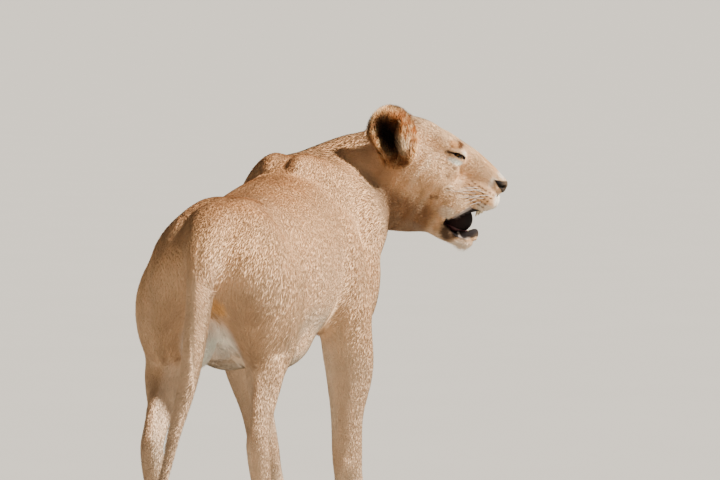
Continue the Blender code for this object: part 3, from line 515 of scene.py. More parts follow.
def add_neck(field):
    """The neck, which bends to her right, with its muscles bunched on that side."""
    rows = smooth_path(NECK_STATIONS, 4)
    for i, (start, end) in enumerate(zip(rows, rows[1:])):
        side = np.cross(end[:3] - start[:3], (0, 0, 1))
        field.add(Segment(start, end, side), 0.006 if i else 0.05)
    field.add(muscle((-0.055, -0.380, 0.845), (-0.160, -0.555, 0.715), 0.090, 0.055), 0.05)
    field.add(Ellipsoid((-0.138, -0.500, 0.745), (0.062, 0.075, 0.085)), 0.05)
    field.add(muscle((0.060, -0.390, 0.820), (0.050, -0.585, 0.780), 0.090, 0.052), 0.05)


def add_balls(field, rows, side=LEFT):
    """Joins balls in the head to the field. The rows are for her left."""
    for (forward, left, up), radii, pitch, blend in rows:
        field.add(HEAD.ball((forward, left * side, up), radii, pitch), blend)


def mirrored(stations, side):
    """The head's stations, given for her left, on one side."""
    return [(row[0], row[1] * side, *row[2:]) for row in stations]


def add_head(field):
    """Skull, face and upper jaw, then the lower jaw, dropped open."""
    add_balls(field, SKULL_BALLS)
    field.add(HEAD.tube(PALATE), 0.02)
    for side in SIDES:
        field.add(HEAD.tube(mirrored(BRIDGE, side)), 0.018)
        add_balls(field, FACE_BALLS, side)
    add_balls(field, SNOUT_BALLS)
    add_lower_jaw(field)


def add_lower_jaw(field):
    """The gape between the jaws is cut first, then the lower jaw and chin are put back in it."""
    for cut in (GAPE, THROAT):
        field.carve(HEAD.tube(cut, 3), 0.010)
    for side in SIDES:
        field.add(HEAD.tube(mirrored(JAW_ARM, side)), 0.012)
    add_balls(field, CHIN_BALLS)


def add_ears(field):
    """Round ears, each a thick cup that opens outwards."""
    for side in SIDES:
        drop = EAR_DROP[side]
        place = (-0.301, 0.091 * side, -0.002 - drop)
        cup = HEAD.ball(place, (0.063, 0.034, 0.075), 35, -10 * side)
        behind = HEAD.ball((-0.401, 0.091 * side, -0.168 - drop), (0.145, 0.20, 0.145))
        field.add(Trimmed(cup, behind, 0.012), 0.014)
        hollow = (-0.300, 0.130 * side, -0.002 - drop)
        field.carve(HEAD.ball(hollow, (0.036, 0.042, 0.062), 45, -10 * side), 0.008)


# ---------------------------------------------------------------- stance

RIGHT_KNEE, LEFT_KNEE = (-0.079, 0.182, KNEE_Z + 0.010), (0.150, 0.200, KNEE_Z - 0.005)
RIGHT_HOCK, LEFT_HOCK = (-0.084, 0.310, HOCK_Z), (0.130, 0.440, HOCK_Z)
RIGHT_HIND_BALL, LEFT_HIND_BALL = (-0.086, 0.240, 0.045), (0.130, 0.382, 0.045)
RIGHT_ELBOW, LEFT_ELBOW = (-0.138, -0.348, ELBOW_Z), (0.134, -0.390, ELBOW_Z)
RIGHT_WRIST, LEFT_WRIST = (-0.130, -0.385, WRIST_Z), (0.104, -0.480, WRIST_Z)
RIGHT_FORE_BALL, LEFT_FORE_BALL = (-0.130, -0.420, 0.045), (0.100, -0.540, 0.045)


def lioness_field(low, high, cell, softening):
    """The whole animal to the tips of her coat, where it falls between two corners."""
    field = Field(low, high, cell)
    add_trunk(field)
    for side, knee in ((RIGHT, RIGHT_KNEE), (LEFT, LEFT_KNEE)):
        add_shoulder(field, side)
        add_hip(field, side, knee)
    add_foreleg(field, RIGHT, RIGHT_ELBOW, RIGHT_WRIST, RIGHT_FORE_BALL, -6)
    add_foreleg(field, LEFT, LEFT_ELBOW, LEFT_WRIST, LEFT_FORE_BALL, 6)
    add_hind_leg(field, RIGHT, RIGHT_KNEE, RIGHT_HOCK, RIGHT_HIND_BALL, -8)
    add_hind_leg(field, LEFT, LEFT_KNEE, LEFT_HOCK, LEFT_HIND_BALL, 8)
    add_tail(field)
    add_neck(field)
    add_head(field)
    add_ears(field)
    field.soften(softening)
    return field


# ---------------------------------------------------------------- regions


def smooth(values, start, end):
    """0 at start, 1 at end, eased between them."""
    t = np.clip((values - start) / (end - start), 0, 1)
    return t * t * (3 - 2 * t)


def near(places, centre, inner, outer):
    """1 within inner of a point, 0 beyond outer."""
    return 1 - smooth(np.linalg.norm(places - np.asarray(centre), axis=1), inner, outer)


def blot(places, centre, radii, axes=None):
    """1 in the middle of an ellipsoid, 0 from its edge."""
    offset = places - np.asarray(centre)
    if axes is not None:
        offset = offset @ np.asarray(axes).T
    return 1 - smooth(np.sqrt(((offset / np.asarray(radii)) ** 2).sum(1)), 0.45, 1.0)


def to_line(places, points):
    """The distance to a line through points, and how far along it, from 0 to 1."""
    points = np.asarray(points, float)
    best, share = np.full(len(places), np.inf), np.zeros(len(places))
    for i, (start, end) in enumerate(zip(points, points[1:])):
        run = end - start
        t = np.clip((places - start) @ run / (run @ run), 0, 1)
        gap = np.linalg.norm(places - start - t[:, None] * run, axis=1)
        share = np.where(gap < best, (i + t) / (len(points) - 1), share)
        best = np.minimum(best, gap)
    return best, share


def ripple(places, size, seed):
    """A smooth random pattern from -1 to 1, with patches about size across."""
    rng = np.random.default_rng(seed)
    total = np.zeros(len(places))
    for _ in range(9):
        wave = rng.normal(size=3) * 2.2 / size
        total += np.sin(places @ wave + rng.uniform(0, 2 * math.pi))
    return np.tanh(total / 3)


def streaks(places, axes, sizes, seed):
    """Like ripple, with its own size along each axis, so that the pattern is drawn out."""
    turned = places @ np.asarray(axes).T / np.asarray(sizes)
    return ripple(turned, 1.0, seed)


def head_local(places):
    """Forward, left and up of the nose tip for each place."""
    offset = places - HEAD.origin
    return offset @ HEAD.forward, offset @ HEAD.left, offset @ HEAD.up


TAIL_LINE = [station[:3] for station in TAIL_STATIONS]
TUFT_LINE = [station[:3] for station in TUFT_STATIONS]


class Regions:
    """How much each place belongs to each region of the body, from 0 to 1."""

    def __init__(self, places):
        self.forward, self.left, self.up = head_local(places)
        self.side = np.where(self.left < 0, -1.0, 1.0)
        self.head = near(places, HEAD.at(-0.17, 0, -0.06), 0.165, 0.235)
        self.muzzle = near(places, HEAD.at(-0.045, 0, -0.06), 0.050, 0.110) * self.head
        ear = [blot(places, HEAD.at(-0.300, 0.105 * side, 0.004 - EAR_MASK_DROP[side]),
                    (0.085, 0.062, 0.108), HEAD.axes(35)) for side in SIDES]
        self.ear = smooth(np.maximum(*ear), 0.05, 0.55) * (np.abs(self.left) > 0.078)
        fringe = [blot_local(self, (-0.258, 0.112 * side, -0.004 - EAR_DROP[side]),
                             (0.034, 0.05, 0.070), 35) for side in SIDES]
        self.fringe = np.maximum(*fringe) * self.ear
        self.paw = 1 - smooth(places[:, 2], 0.09, 0.17)
        self.leg = 1 - smooth(places[:, 2], 0.38, 0.50)
        gap, share = to_line(places, TAIL_LINE)
        self.tail = (1 - smooth(gap, 0.045, 0.060)) * smooth(share, 0.20, 0.36)
        gap, share = to_line(places, TUFT_LINE)
        self.tuft = (1 - smooth(gap, 0.035, 0.045)) * smooth(0.180 - places[:, 2], 0, 0.02)
        self.leg = self.leg * (1 - np.maximum(self.tail, self.tuft))
        self.paw = self.paw * (1 - np.maximum(self.tail, self.tuft))
        self.bare = self.bare_share()

    def bare_share(self):
        """Nose leather, lips and the inside of the mouth, which have no coat."""
        face = (self.forward, self.left, self.up)
        return np.maximum(nose_share(*face), mouth_share(*face)) * self.head


def mouth_share(forward, left, up):
    """1 on the lips and inside the open mouth, back to the throat."""
    aside = np.abs(left)
    low_edge = np.interp(forward, [-0.20, -0.09, -0.062, -0.040, -0.015],
                         [-0.150, -0.154, -0.170, -0.167, -0.150])
    high_edge = np.interp(forward, [-0.20, -0.092, -0.080, -0.068, -0.058, -0.037, -0.020, 0.0],
                          [-0.112, -0.134, -0.120, -0.101, -0.084, -0.084, -0.088, -0.079])
    width = np.interp(forward, [-0.19, -0.13, -0.103, -0.092], [0.030, 0.038, 0.041, 0.120])
    deep = np.interp(forward, [-0.10, -0.05, -0.025], [0.040, 0.033, 0.0])
    deep = smooth(deep - aside, -0.002, 0.002)
    high_edge = high_edge + (np.maximum(high_edge, -0.086) - high_edge) * deep
    inside = smooth(up - low_edge, -0.003, 0.002) * smooth(high_edge - up, -0.003, 0.002)
    return inside * smooth(forward, -0.19, -0.18) * smooth(width - aside, -0.002, 0.002)


def nose_share(forward, left, up):
    """1 on the nose leather, which is wide at the top and narrows to the cleft of the lip."""
    aside = np.abs(left)
    half = np.interp(up, [-0.026, -0.018, -0.006, 0.004], [0.010, 0.022, 0.040, 0.050])
    back = np.interp(up, [-0.026, -0.016, -0.006, 0.000, 0.008],
                     [-0.004, -0.013, -0.026, -0.034, -0.038])
    top = np.interp(forward, [-0.036, -0.004], [-0.0010, 0.0080])
    share = smooth(half - aside, -0.0025, 0.0015) * smooth(top - up, -0.0015, 0.0020)
    share = share * smooth(up, -0.028, -0.024) * smooth(forward - back, -0.002, 0.002)
    cleft = smooth(0.0018 - aside, -0.001, 0.0005) * smooth(forward, -0.030, -0.020)
    cleft = cleft * smooth(-up, 0.0, 0.02)
    return np.maximum(share, cleft * smooth(up, -0.074, -0.066))


def coat_depth(places):
    """How far the skin lies inside the tips of the coat."""
    r = Regions(places)
    depth = np.full(len(places), 0.0052)
    for share, value in ((r.leg, 0.0042), (r.paw, 0.0030), (r.tail, 0.0050), (r.head, 0.0036),
                         (r.muzzle, 0.0022), (r.ear, 0.0028), (r.tuft, 0.0085), (r.bare, 0.0)):
        depth += (value - depth) * share
    return depth


# ---------------------------------------------------------------- skin


def doubled(values, axis):
    """The grid with a new layer halfway between each two along an axis."""
    values = np.moveaxis(values, axis, 0)
    made = np.empty((2 * len(values) - 1, *values.shape[1:]), np.float32)
    made[::2] = values
    made[1::2] = (values[:-1] + values[1:]) / 2
    return np.moveaxis(made, 0, axis)


def under_coat(field):
    """Moves the surface inwards by the coat's depth."""
    close = np.nonzero(np.abs(field.values) < BAND)
    places = np.stack([axis[i] for axis, i in zip(field.axes, close)], axis=1)
    field.values[close] += coat_depth(places.astype(float)).astype(np.float32)


def add_face(field):
    """What the skin of the face adds to the solids, from the nose to the fringe of the ears."""
    add_balls(field, NOSE_BALLS)
    field.carve(HEAD.ball((-0.001, 0, -0.0360), (0.0075, 0.0020, 0.0200)), 0.004)
    field.carve(HEAD.tube(JAW_DIP, 3), 0.006)
    # A mass that closes the back of the open mouth; the mouth's paint makes it near-black, as painted
    # shade
    field.add(HEAD.ball((-0.083, 0, -0.129), (0.041, 0.026, 0.037)), 0.004)
    for side in SIDES:
        field.add(HEAD.tube(mirrored(LOWER_LIP, side), 3), 0.004)
    field.add(HEAD.ball((-0.245, 0, 0.012), (0.060, 0.050, 0.0445)), 0.030)
    for side in SIDES:
        field.carve(HEAD.ball((-0.0030, 0.0145 * side, -0.0085), (0.0110, 0.0070, 0.0050)), 0.003)
        field.carve(HEAD.tube(mirrored(NOSTRIL_SLIT, side), 3), 0.003)
        field.carve(HEAD.tube(mirrored(BROW_CREASE, side), 3), 0.006)
        drop = EAR_DROP[side]
        add_balls(field, [((-0.150, 0.058, -0.020), (0.032, 0.016, 0.024), 0, 0.020),
                          ((-0.259, 0.100, -0.004 - drop), (0.020, 0.019, 0.044), 35, 0.010),
                          ((-0.318, 0.099, 0.046 - drop), (0.026, 0.015, 0.014), 35, 0.010)], side)
        eye = EyeFrame(side)
        field.add(Ellipsoid(eye.centre, [EYE_RADIUS + LID_THICK] * 3), 0.010)
        axes = np.array([eye.gaze, eye.inner, eye.up])
        slit = Ellipsoid(eye.at(0, SLIT_LIFT, EYE_RADIUS), (0.012, 0.0165, 0.0040), axes)
        field.carve(slit, 0.001)


def skin_mesh():
    """Points and faces of the skin: the body on a coarse grid, the head and paws on a fine one."""
    low, high = BODY_WINDOW
    body = lioness_field(low, high, CELL, SOFTENING)
    under_coat(body)
    values = np.clip(body.values, -BAND, BAND)
    for axis in range(3):
        values = doubled(values, axis)
    for first, last, face in FINE_WINDOWS:
        start = [int(round((a - b) / FINE_CELL)) for a, b in zip(first, low)]
        corner = [b + s * FINE_CELL for s, b in zip(start, low)]
        fine = lioness_field(corner, last, FINE_CELL, SOFTENING)
        under_coat(fine)
        if face:
            add_face(fine)
        where = tuple(slice(s, s + n) for s, n in zip(start, fine.values.shape))
        share = edge_fade(fine.values.shape, WINDOW_FADE)
        values[where] += (np.clip(fine.values, -BAND, BAND) - values[where]) * share
    grid = openvdb.FloatGrid(BAND)
    grid.copyFromArray(np.ascontiguousarray(values))
    grid.transform = openvdb.createLinearTransform(voxelSize=FINE_CELL)
    points, triangles, quads = grid.convertToPolygons(isovalue=0.0, adaptivity=SKIN_DETAIL)
    faces = np.concatenate([triangles, quads[:, [0, 1, 2]], quads[:, [0, 2, 3]]])
    points = points.astype(float) + low
    points[:, 2] = np.maximum(points[:, 2], 0.0)
    return points, faces.astype(np.int64)


def edge_fade(shape, width):
    """1 in the middle of a grid, easing to 0 at its edges."""
    share = np.ones(shape, np.float32)
    for axis, count in enumerate(shape):
        steps = np.arange(count) * FINE_CELL
        ramp = smooth(np.minimum(steps, steps[::-1]), 0, width)
        share *= ramp.reshape([-1 if a == axis else 1 for a in range(3)]).astype(np.float32)
    return share


def face_crosses(points, faces):
    """Each triangle's normal, as long as twice its area."""
    corners = points[faces]
    return np.cross(corners[:, 1] - corners[:, 0], corners[:, 2] - corners[:, 0])


def point_normals(points, faces):
    normals = np.zeros_like(points)
    across = face_crosses(points, faces)
    for corner in range(3):
        np.add.at(normals, faces[:, corner], across)
    return normals / np.maximum(np.linalg.norm(normals, axis=1, keepdims=True), 1e-12)


# ---------------------------------------------------------------- colours


def srgb(red, green, blue):
    """A linear colour from screen values of 0 to 255."""
    return ((np.array([red, green, blue]) / 255 + 0.055) / 1.055) ** 2.4


SAND = srgb(224, 178, 132)
BACK = srgb(172, 116, 68)
FLANK = srgb(236, 198, 158)
CREAM = srgb(242, 228, 206)
WHITE = srgb(250, 242, 228)
BROWN = srgb(120, 80, 48)
SPOT = srgb(98, 62, 38)
BLACK = srgb(26, 20, 17)
TASSEL = srgb(44, 30, 21)
GREY_TAN = srgb(196, 168, 142)
LIP = srgb(28, 21, 20)
MOUTH_SHADE = srgb(40, 20, 20)
# The colour deep inside the mouth is painted shade
FACE = srgb(236, 198, 156)
NOSE = srgb(15, 10, 9)

# Tone, strength, centre and radii. The blots of the seat are across, along and up from the floor.
# The first blot, darker brown over the back of each thigh, is painted shade
SEAT_BLOTS = [(srgb(142, 94, 56), 0.42, (0.065, 0.430, 0.520), (0.110, 0.17, 0.200)),
              (srgb(228, 166, 92), 0.75, (0.016, 0.420, 0.605), (0.026, 0.12, 0.038)),
              (WHITE, 0.8, (0.012, 0.350, 0.470), (0.040, 0.14, 0.110))]
FACE_MARKS = [(srgb(214, 160, 104), 0.65, (-0.080, 0.0, 0.020), (0.105, 0.032, 0.030)),
              (srgb(196, 146, 100), 0.45, (-0.075, 0.045, -0.030), (0.060, 0.050, 0.030)),
              (srgb(208, 158, 104), 0.60, (-0.048, 0.050, -0.058), (0.050, 0.050, 0.024)),
              (CREAM, 0.85, (-0.022, 0.034, -0.074), (0.036, 0.050, 0.016)),
              (WHITE, 0.85, (-0.006, 0.016, -0.048), (0.018, 0.030, 0.026)),
              (CREAM, 0.75, (-0.033, 0.034, -0.008), (0.012, 0.020, 0.020)),
              (WHITE, 0.90, (-0.015, 0.008, 0.0190), (0.024, 0.030, 0.0150)),
              (WHITE, 0.85, (-0.045, 0.0, -0.190), (0.046, 0.060, 0.030)),
              (CREAM, 0.60, (-0.130, 0.040, -0.190), (0.080, 0.060, 0.026)),
              (CREAM, 0.75, (-0.098, 0.075, -0.120), (0.034, 0.050, 0.022)),
              (WHITE, 1.0, (-0.131, 0.064, 0.0035), (0.030, 0.030, 0.0095)),
              (WHITE, 0.90, (-0.112, 0.050, 0.0300), (0.021, 0.024, 0.0085)),
              (srgb(206, 140, 76), 0.65, (-0.152, 0.050, 0.0400), (0.022, 0.030, 0.0150))]
EAR_PATCHES = [(srgb(172, 100, 44), 0.90, (-0.290, 0.105, 0.030), (0.070, 0.060, 0.040), 35),
               (srgb(178, 104, 44), 0.95, (-0.262, 0.105, 0.018), (0.030, 0.060, 0.040), 35),
               (srgb(236, 206, 168), 0.90, (-0.258, 0.110, -0.024), (0.026, 0.060, 0.024), 35),
               (srgb(158, 98, 50), 0.80, (-0.252, 0.100, -0.052), (0.036, 0.070, 0.016), 10)]
# Painted shade in each ear's hollow, darkest in its depth
EAR_HOLLOW_SHADES = [(srgb(84, 48, 26), 0.90, (-0.306, 0.105, -0.002), (0.038, 0.060, 0.066), 52),
               (srgb(36, 24, 19), 1.0, (-0.307, 0.105, -0.010), (0.024, 0.060, 0.054), 52)]
# Lines and spots in the head's own axes
# Painted shadow: a line on the neck behind each ear, where the ear and head shade it
NECK_SHADOW_LINE = [(-0.367, -0.048), (-0.318, -0.068), (-0.270, -0.092), (-0.245, -0.148),
             (-0.220, -0.203)]
CHEEK_SPOTS = [(-0.134, -0.036), (-0.127, -0.012), (-0.150, -0.100), (-0.138, -0.094),
               (-0.120, -0.066)]
LID_CREASE = [(-0.168, 0.064), (-0.158, 0.057), (-0.146, 0.049), (-0.138, 0.040)]
UPPER_LIP_EDGE = [(-0.083, -0.124), (-0.068, -0.103), (-0.056, -0.087)]
LOWER_LIP_EDGE = [(-0.0640, -0.155), (-0.052, -0.166), (-0.0406, -0.1688), (-0.031, -0.159)]
EYE_CORNERS = ([(-0.160, 0.062, 0.0175), (-0.151, 0.064, 0.0185)],
               [(-0.124, 0.053, 0.0195), (-0.112, 0.045, 0.0185), (-0.102, 0.041, 0.0115)])
IRIS = [(0.0, srgb(52, 36, 30)), (0.74, srgb(60, 42, 32)), (0.78, srgb(24, 14, 9)),
        (0.82, srgb(120, 72, 26)), (0.90, srgb(176, 116, 46)), (0.945, srgb(120, 72, 28)),
        (0.953, srgb(6, 5, 5))]


def coat_colour(places, normals):
    """The colour of skin and coat at each place, from the regions of the body."""
    r = Regions(places)
    x, y, z = places.T
    colour = np.tile(SAND, (len(places), 1))
    rise = normals[:, 2]
    patches = ripple(places, 0.10, 3)
    fine = ripple(places, 0.022, 5)

    def paint(tone, share):
        colour[:] += (tone - colour) * np.clip(share, 0, 1)[:, None]

    body = 1 - r.head
    off_tail = 1 - r.tail
    paint(FLANK, 0.8 * smooth(-rise, -0.5, 0.3) * body)
    spine = smooth(rise, 0.35, 0.95) * smooth(z, 0.70, 0.82) * body
    paint(BACK, spine * (0.62 + 0.18 * patches) * (1 - 0.55 * smooth(-y, 0.40, 0.52)))
    stripe = (1 - smooth(np.abs(x), 0.012, 0.060)) * smooth(z, 0.74, 0.80) * smooth(y, -0.36, -0.25)
    paint(BROWN, 0.35 * stripe * body)
    belly = smooth(-rise, 0.15, 0.75) * smooth(z, 0.36, 0.42) * (1 - smooth(z, 0.52, 0.62))
    belly = belly * (1 - smooth(y, 0.16, 0.30)) * (1 - smooth(-y, 0.14, 0.24))
    paint(CREAM, 0.9 * belly * body)
    inner = smooth(-normals[:, 0] * np.sign(x), 0.1, 0.8)
    inner = inner * smooth(z, 0.16, 0.26) * (1 - smooth(z, 0.43, 0.50))
    paint(CREAM, 0.40 * inner * body * off_tail)
    paint(GREY_TAN, 0.45 * r.leg * (1 - inner))
    paint(srgb(226, 198, 166), 0.7 * r.paw)
    paint(GREY_TAN, (0.35 + 0.25 * smooth(0.62 - z, 0, 0.3)) * r.tail)
    paint(TASSEL, smooth(0.205 - z, 0, 0.035) * np.maximum(r.tuft, r.tail))
    # Painted shade on the back of the thighs, then the orange and white fur under the tail
    for side in SIDES:
        for tone, strength, (left, back, height), radii in SEAT_BLOTS:
            paint(tone, strength * blot(places, (left * side, back, height), radii) * off_tail)
    paint(WHITE, 0.9 * blot(places, (0.034, 0.350, 0.460), (0.060, 0.16, 0.140)) * off_tail)
    rosettes = smooth(ripple(places, 0.030, 8), 0.45, 0.9)
    low = (1 - smooth(z, 0.45, 0.72)) * smooth(z, 0.12, 0.25)
    paint(BROWN, 0.14 * rosettes * low * body)
    # Painted shadow on the neck behind each ear, where the ear and head shade it
    for side in SIDES:
        gap, _ = to_line(places, [HEAD.at(f, 0.082 * side, u) for f, u in NECK_SHADOW_LINE])
        paint(srgb(84, 52, 30), 0.85 * (1 - smooth(gap, 0.010, 0.032)) * (1 - r.ear))
    paint_face(paint, r, places, normals)
    colour *= (1 + 0.07 * patches + 0.05 * fine)[:, None]
    return np.clip(colour, 0.003, 0.95)


def paint_face(paint, r, places, normals):
    """The markings of the head, and painted shade under the jaw and in the mouth, on top of the
    coat's ground colour.
    """
    f, aside, u = r.forward, np.abs(r.left), r.up
    head = r.head
    profile = np.stack([f, u], axis=1)

    def mark(tone, strength, centre, radii):
        away = np.sqrt(((f - centre[0]) / radii[0]) ** 2 + ((aside - centre[1]) / radii[1]) ** 2
                       + ((u - centre[2]) / radii[2]) ** 2)
        paint(tone, strength * head * (1 - smooth(away, 0.45, 1.0)))

    def line(points, inner, outer):
        """1 on a line through points of forward and up, the same on both sides of the face."""
        return 1 - smooth(to_line(profile, points)[0], inner, outer)

    paint(FACE, 0.75 * head)
    for row in FACE_MARKS:
        mark(*row)
    crease = line(LID_CREASE, 0.0030, 0.0075)
    paint(srgb(104, 62, 32), 0.95 * crease * head * smooth(aside, 0.012, 0.020))
    for row in range(5):
        for column in range(7):
            spot = (-0.016 - 0.0105 * column - 0.003 * row, 0.045,
                    -0.036 - 0.0092 * row + 0.0015 * column)
            mark(SPOT, 0.85, spot, (0.0052, 0.040, 0.0034))
    cheek = smooth(f, -0.26, -0.20) * (1 - smooth(f, -0.10, -0.07)) * (1 - smooth(u, -0.02, 0.02))
    strokes = streaks(places, HEAD.axes(), (0.008, 0.02, 0.030), 31)
    paint(srgb(240, 214, 180), 0.55 * smooth(strokes, 0.2, 0.9) * cheek * head)
    paint(srgb(158, 112, 70), 0.45 * smooth(-strokes, 0.3, 1.0) * cheek * head)
    for forward, up in CHEEK_SPOTS:
        mark(SPOT, 0.60, (forward, 0.075, up), (0.0085, 0.050, 0.0065))
    crown = smooth(ripple(places, 0.014, 12), 0.4, 0.9) * smooth(u, 0.02, 0.05)
    paint(BROWN, 0.40 * crown * head * (1 - smooth(f, -0.15, -0.12)))
    # Painted shade under the jaw, down the throat and on the lower jaw's side behind the mouth's
    # corner
    paint(srgb(104, 68, 40), 0.70 * smooth(-u, 0.095, 0.145) * smooth(-f, 0.105, 0.150) * head)
    mark(srgb(62, 42, 29), 0.90, (-0.080, 0.045, -0.163), (0.030, 0.050, 0.036))
    paint_ears(paint, r, places, normals)
    paint_eyes(paint, places)
    paint(NOSE, nose_share(f, r.left, u) * head)
    mouth_and_lips = mouth_share(f, r.left, u)
    # Black lips, and the inside of the mouth near-black as painted shade, darkest deep in it
    paint(LIP, mouth_and_lips * head)
    paint(MOUTH_SHADE, 0.7 * smooth(0.040 - aside, 0, 0.02) * mouth_and_lips * head * smooth(-f, 0.05, 0.08))
    # Painted highlight: a pale grey band along the upper lip's edge
    band = line(UPPER_LIP_EDGE, 0.0025, 0.0055)
    paint(srgb(150, 138, 130), 0.75 * mouth_and_lips * band * head)
    rim = line(LOWER_LIP_EDGE, 0.0012, 0.0035)
    paint(srgb(170, 156, 146), 0.60 * rim * head * smooth(0.060 - aside, 0, 0.01))


def paint_ears(paint, r, places, normals):
    """Tan rims, black backs, painted shade in the hollow, and orange and pale hair in front of it."""
    def patch(tone, strength, centre, radii, pitch):
        forward, left, up = centre
        both = [blot_local(r, (forward, left * side, up), radii, pitch) for side in SIDES]
        share = np.maximum(*both)
        paint(tone, strength * share * r.ear)

    paint(srgb(216, 160, 104), 0.90 * r.ear)
    for row in EAR_PATCHES:
        patch(*row)
    strokes = streaks(places, HEAD.axes(), (0.007, 0.03, 0.016), 41)
    paint(srgb(246, 208, 154), 0.65 * smooth(strokes, 0.1, 0.7) * r.ear)
    paint(srgb(112, 60, 26), 0.65 * smooth(-strokes, 0.2, 0.9) * r.ear)
    # Painted shade in the hollows
    for row in EAR_HOLLOW_SHADES:
        patch(*row)
    outwards = (normals @ HEAD.left) * r.side
    paint(BLACK, 0.92 * r.ear * smooth(-outwards, 0.05, 0.5) * smooth(r.up, -0.04, -0.01))


def blot_local(r, centre, radii, pitch):
    """Like blot, in the head's own axes, the nose end lifted by pitch degrees."""
    c, s = math.cos(math.radians(pitch)), math.sin(math.radians(pitch))
    f, l, u = r.forward - centre[0], r.left - centre[1], r.up - centre[2]
    along, above = f * c + u * s, u * c - f * s
    away = np.sqrt((along / radii[0]) ** 2 + (l / radii[1]) ** 2 + (above / radii[2]) ** 2)
    return 1 - smooth(away, 0.45, 1.0)


def paint_eyes(paint, places):
    """Black rims round the eyes, and a dark line out of each corner."""
    for side in SIDES:
        eye = EyeFrame(side)
        turn, lift, reach = eye.angles(places)
        lift = lift - SLIT_LIFT
        edge = np.where(lift > 0, lift / 19, -lift / 17) + (turn / 66) ** 2
        on_ball = 1 - smooth(np.abs(reach - EYE_RADIUS), 0.006, 0.012)
        paint(BLACK, (1 - smooth(edge, 0.80, 1.10)) * on_ball)
        for corner in EYE_CORNERS:
            gap, _ = to_line(places, [HEAD.at(f, l * side, u) for f, l, u in corner])
            paint(BLACK, 0.9 * (1 - smooth(gap, 0.0028, 0.0060)))


# ---------------------------------------------------------------- eyes


class EyeFrame:
    """An eye's own directions: where it looks, towards its inner corner, and up."""

    def __init__(self, side):
        self.side = side
        self.centre = HEAD.at(EYE_PLACE[0], EYE_PLACE[1] * side, EYE_PLACE[2])
        turn = math.radians(EYE_TURN)
        self.gaze = unit(HEAD.forward * math.cos(turn) + HEAD.left * side * math.sin(turn)
                         + HEAD.up * 0.06)
        self.inner = unit(HEAD.forward - (HEAD.forward @ self.gaze) * self.gaze)
        self.up = np.cross(self.gaze, self.inner) * side
        if self.up @ HEAD.up < 0:
            self.up = -self.up

    def angles(self, places):
        """Degrees round from the gaze towards the inner corner and above it, and the distance."""
        offset = places - self.centre
        reach = np.linalg.norm(offset, axis=1)
        ahead, inner, up = offset @ self.gaze, offset @ self.inner, offset @ self.up
        turn, lift = np.arctan2(inner, ahead), np.arctan2(up, np.hypot(ahead, inner))
        return np.degrees(turn), np.degrees(lift), reach

    def at(self, turn, lift, reach):
        turn, lift = math.radians(turn), math.radians(lift)
        flat = math.cos(lift)
        way = (self.gaze * math.cos(turn) * flat + self.inner * math.sin(turn) * flat
               + self.up * math.sin(lift))
        return self.centre + reach * way


EYE_TURN = 56  # degrees that each eye looks to the side
EYE_GAP = 0.0002  # between the eyeball and the lids
LID_REACH = 58  # degrees from the gaze to the corners
SLIT_LIFT = 10  # degrees that the slit between the lids stands above the middle of the eye
UPPER_OPEN, LOWER_OPEN = 8, 8  # degrees from the slit's line to each lid's edge
LID_COLUMNS = 28
LID_THICK = 0.0034
LID_PROFILE = [(0, 0.0002), (0, 0.0022), (3, 0.0034), (8, 0.0041), (14, 0.0039), (21, 0.0022),
               (21, -0.0030), (6, -0.0030)]  # degrees back from the edge, height off the eyeball


def lid_mesh(eye, upper):
    """Points and faces of one eyelid: a thick rim on the eyeball that runs out under the skin."""
    open_by = UPPER_OPEN if upper else -LOWER_OPEN
    sign = 1 if upper else -1
    points = []
    for i in range(LID_COLUMNS + 1):
        turn = -LID_REACH + 2 * LID_REACH * i / LID_COLUMNS
        bow = math.cos(turn / LID_REACH * math.pi / 2) ** 0.8 if abs(turn) < LID_REACH else 0.0
        edge = SLIT_LIFT + open_by * bow + 0.6 * sign
        points += [eye.at(turn, edge + back * sign, EYE_RADIUS + out) for back, out in LID_PROFILE]
    rows, faces = len(LID_PROFILE), []
    for i in range(LID_COLUMNS):
        for k in range(rows):
            a, b = i * rows + k, i * rows + (k + 1) % rows
            faces += [(a, b, b + rows), (a, b + rows, a + rows)]
    for end in (0, LID_COLUMNS * rows):
        faces += [(end, end + k, end + k + 1) for k in range(1, rows - 1)]
    return np.array(points), np.array(faces)


def outward(points, faces):
    """The faces wound so that each closed piece faces out."""
    made = bpy.data.meshes.new("turned")
    made.from_pydata(points.tolist(), [], faces.tolist())
    shape = bmesh.new()
    shape.from_mesh(made)
    bmesh.ops.recalc_face_normals(shape, faces=shape.faces)
    turned = np.array([[v.index for v in face.verts] for face in shape.faces])
    shape.free()
    bpy.data.meshes.remove(made)
    return turned


# ---------------------------------------------------------------- coat


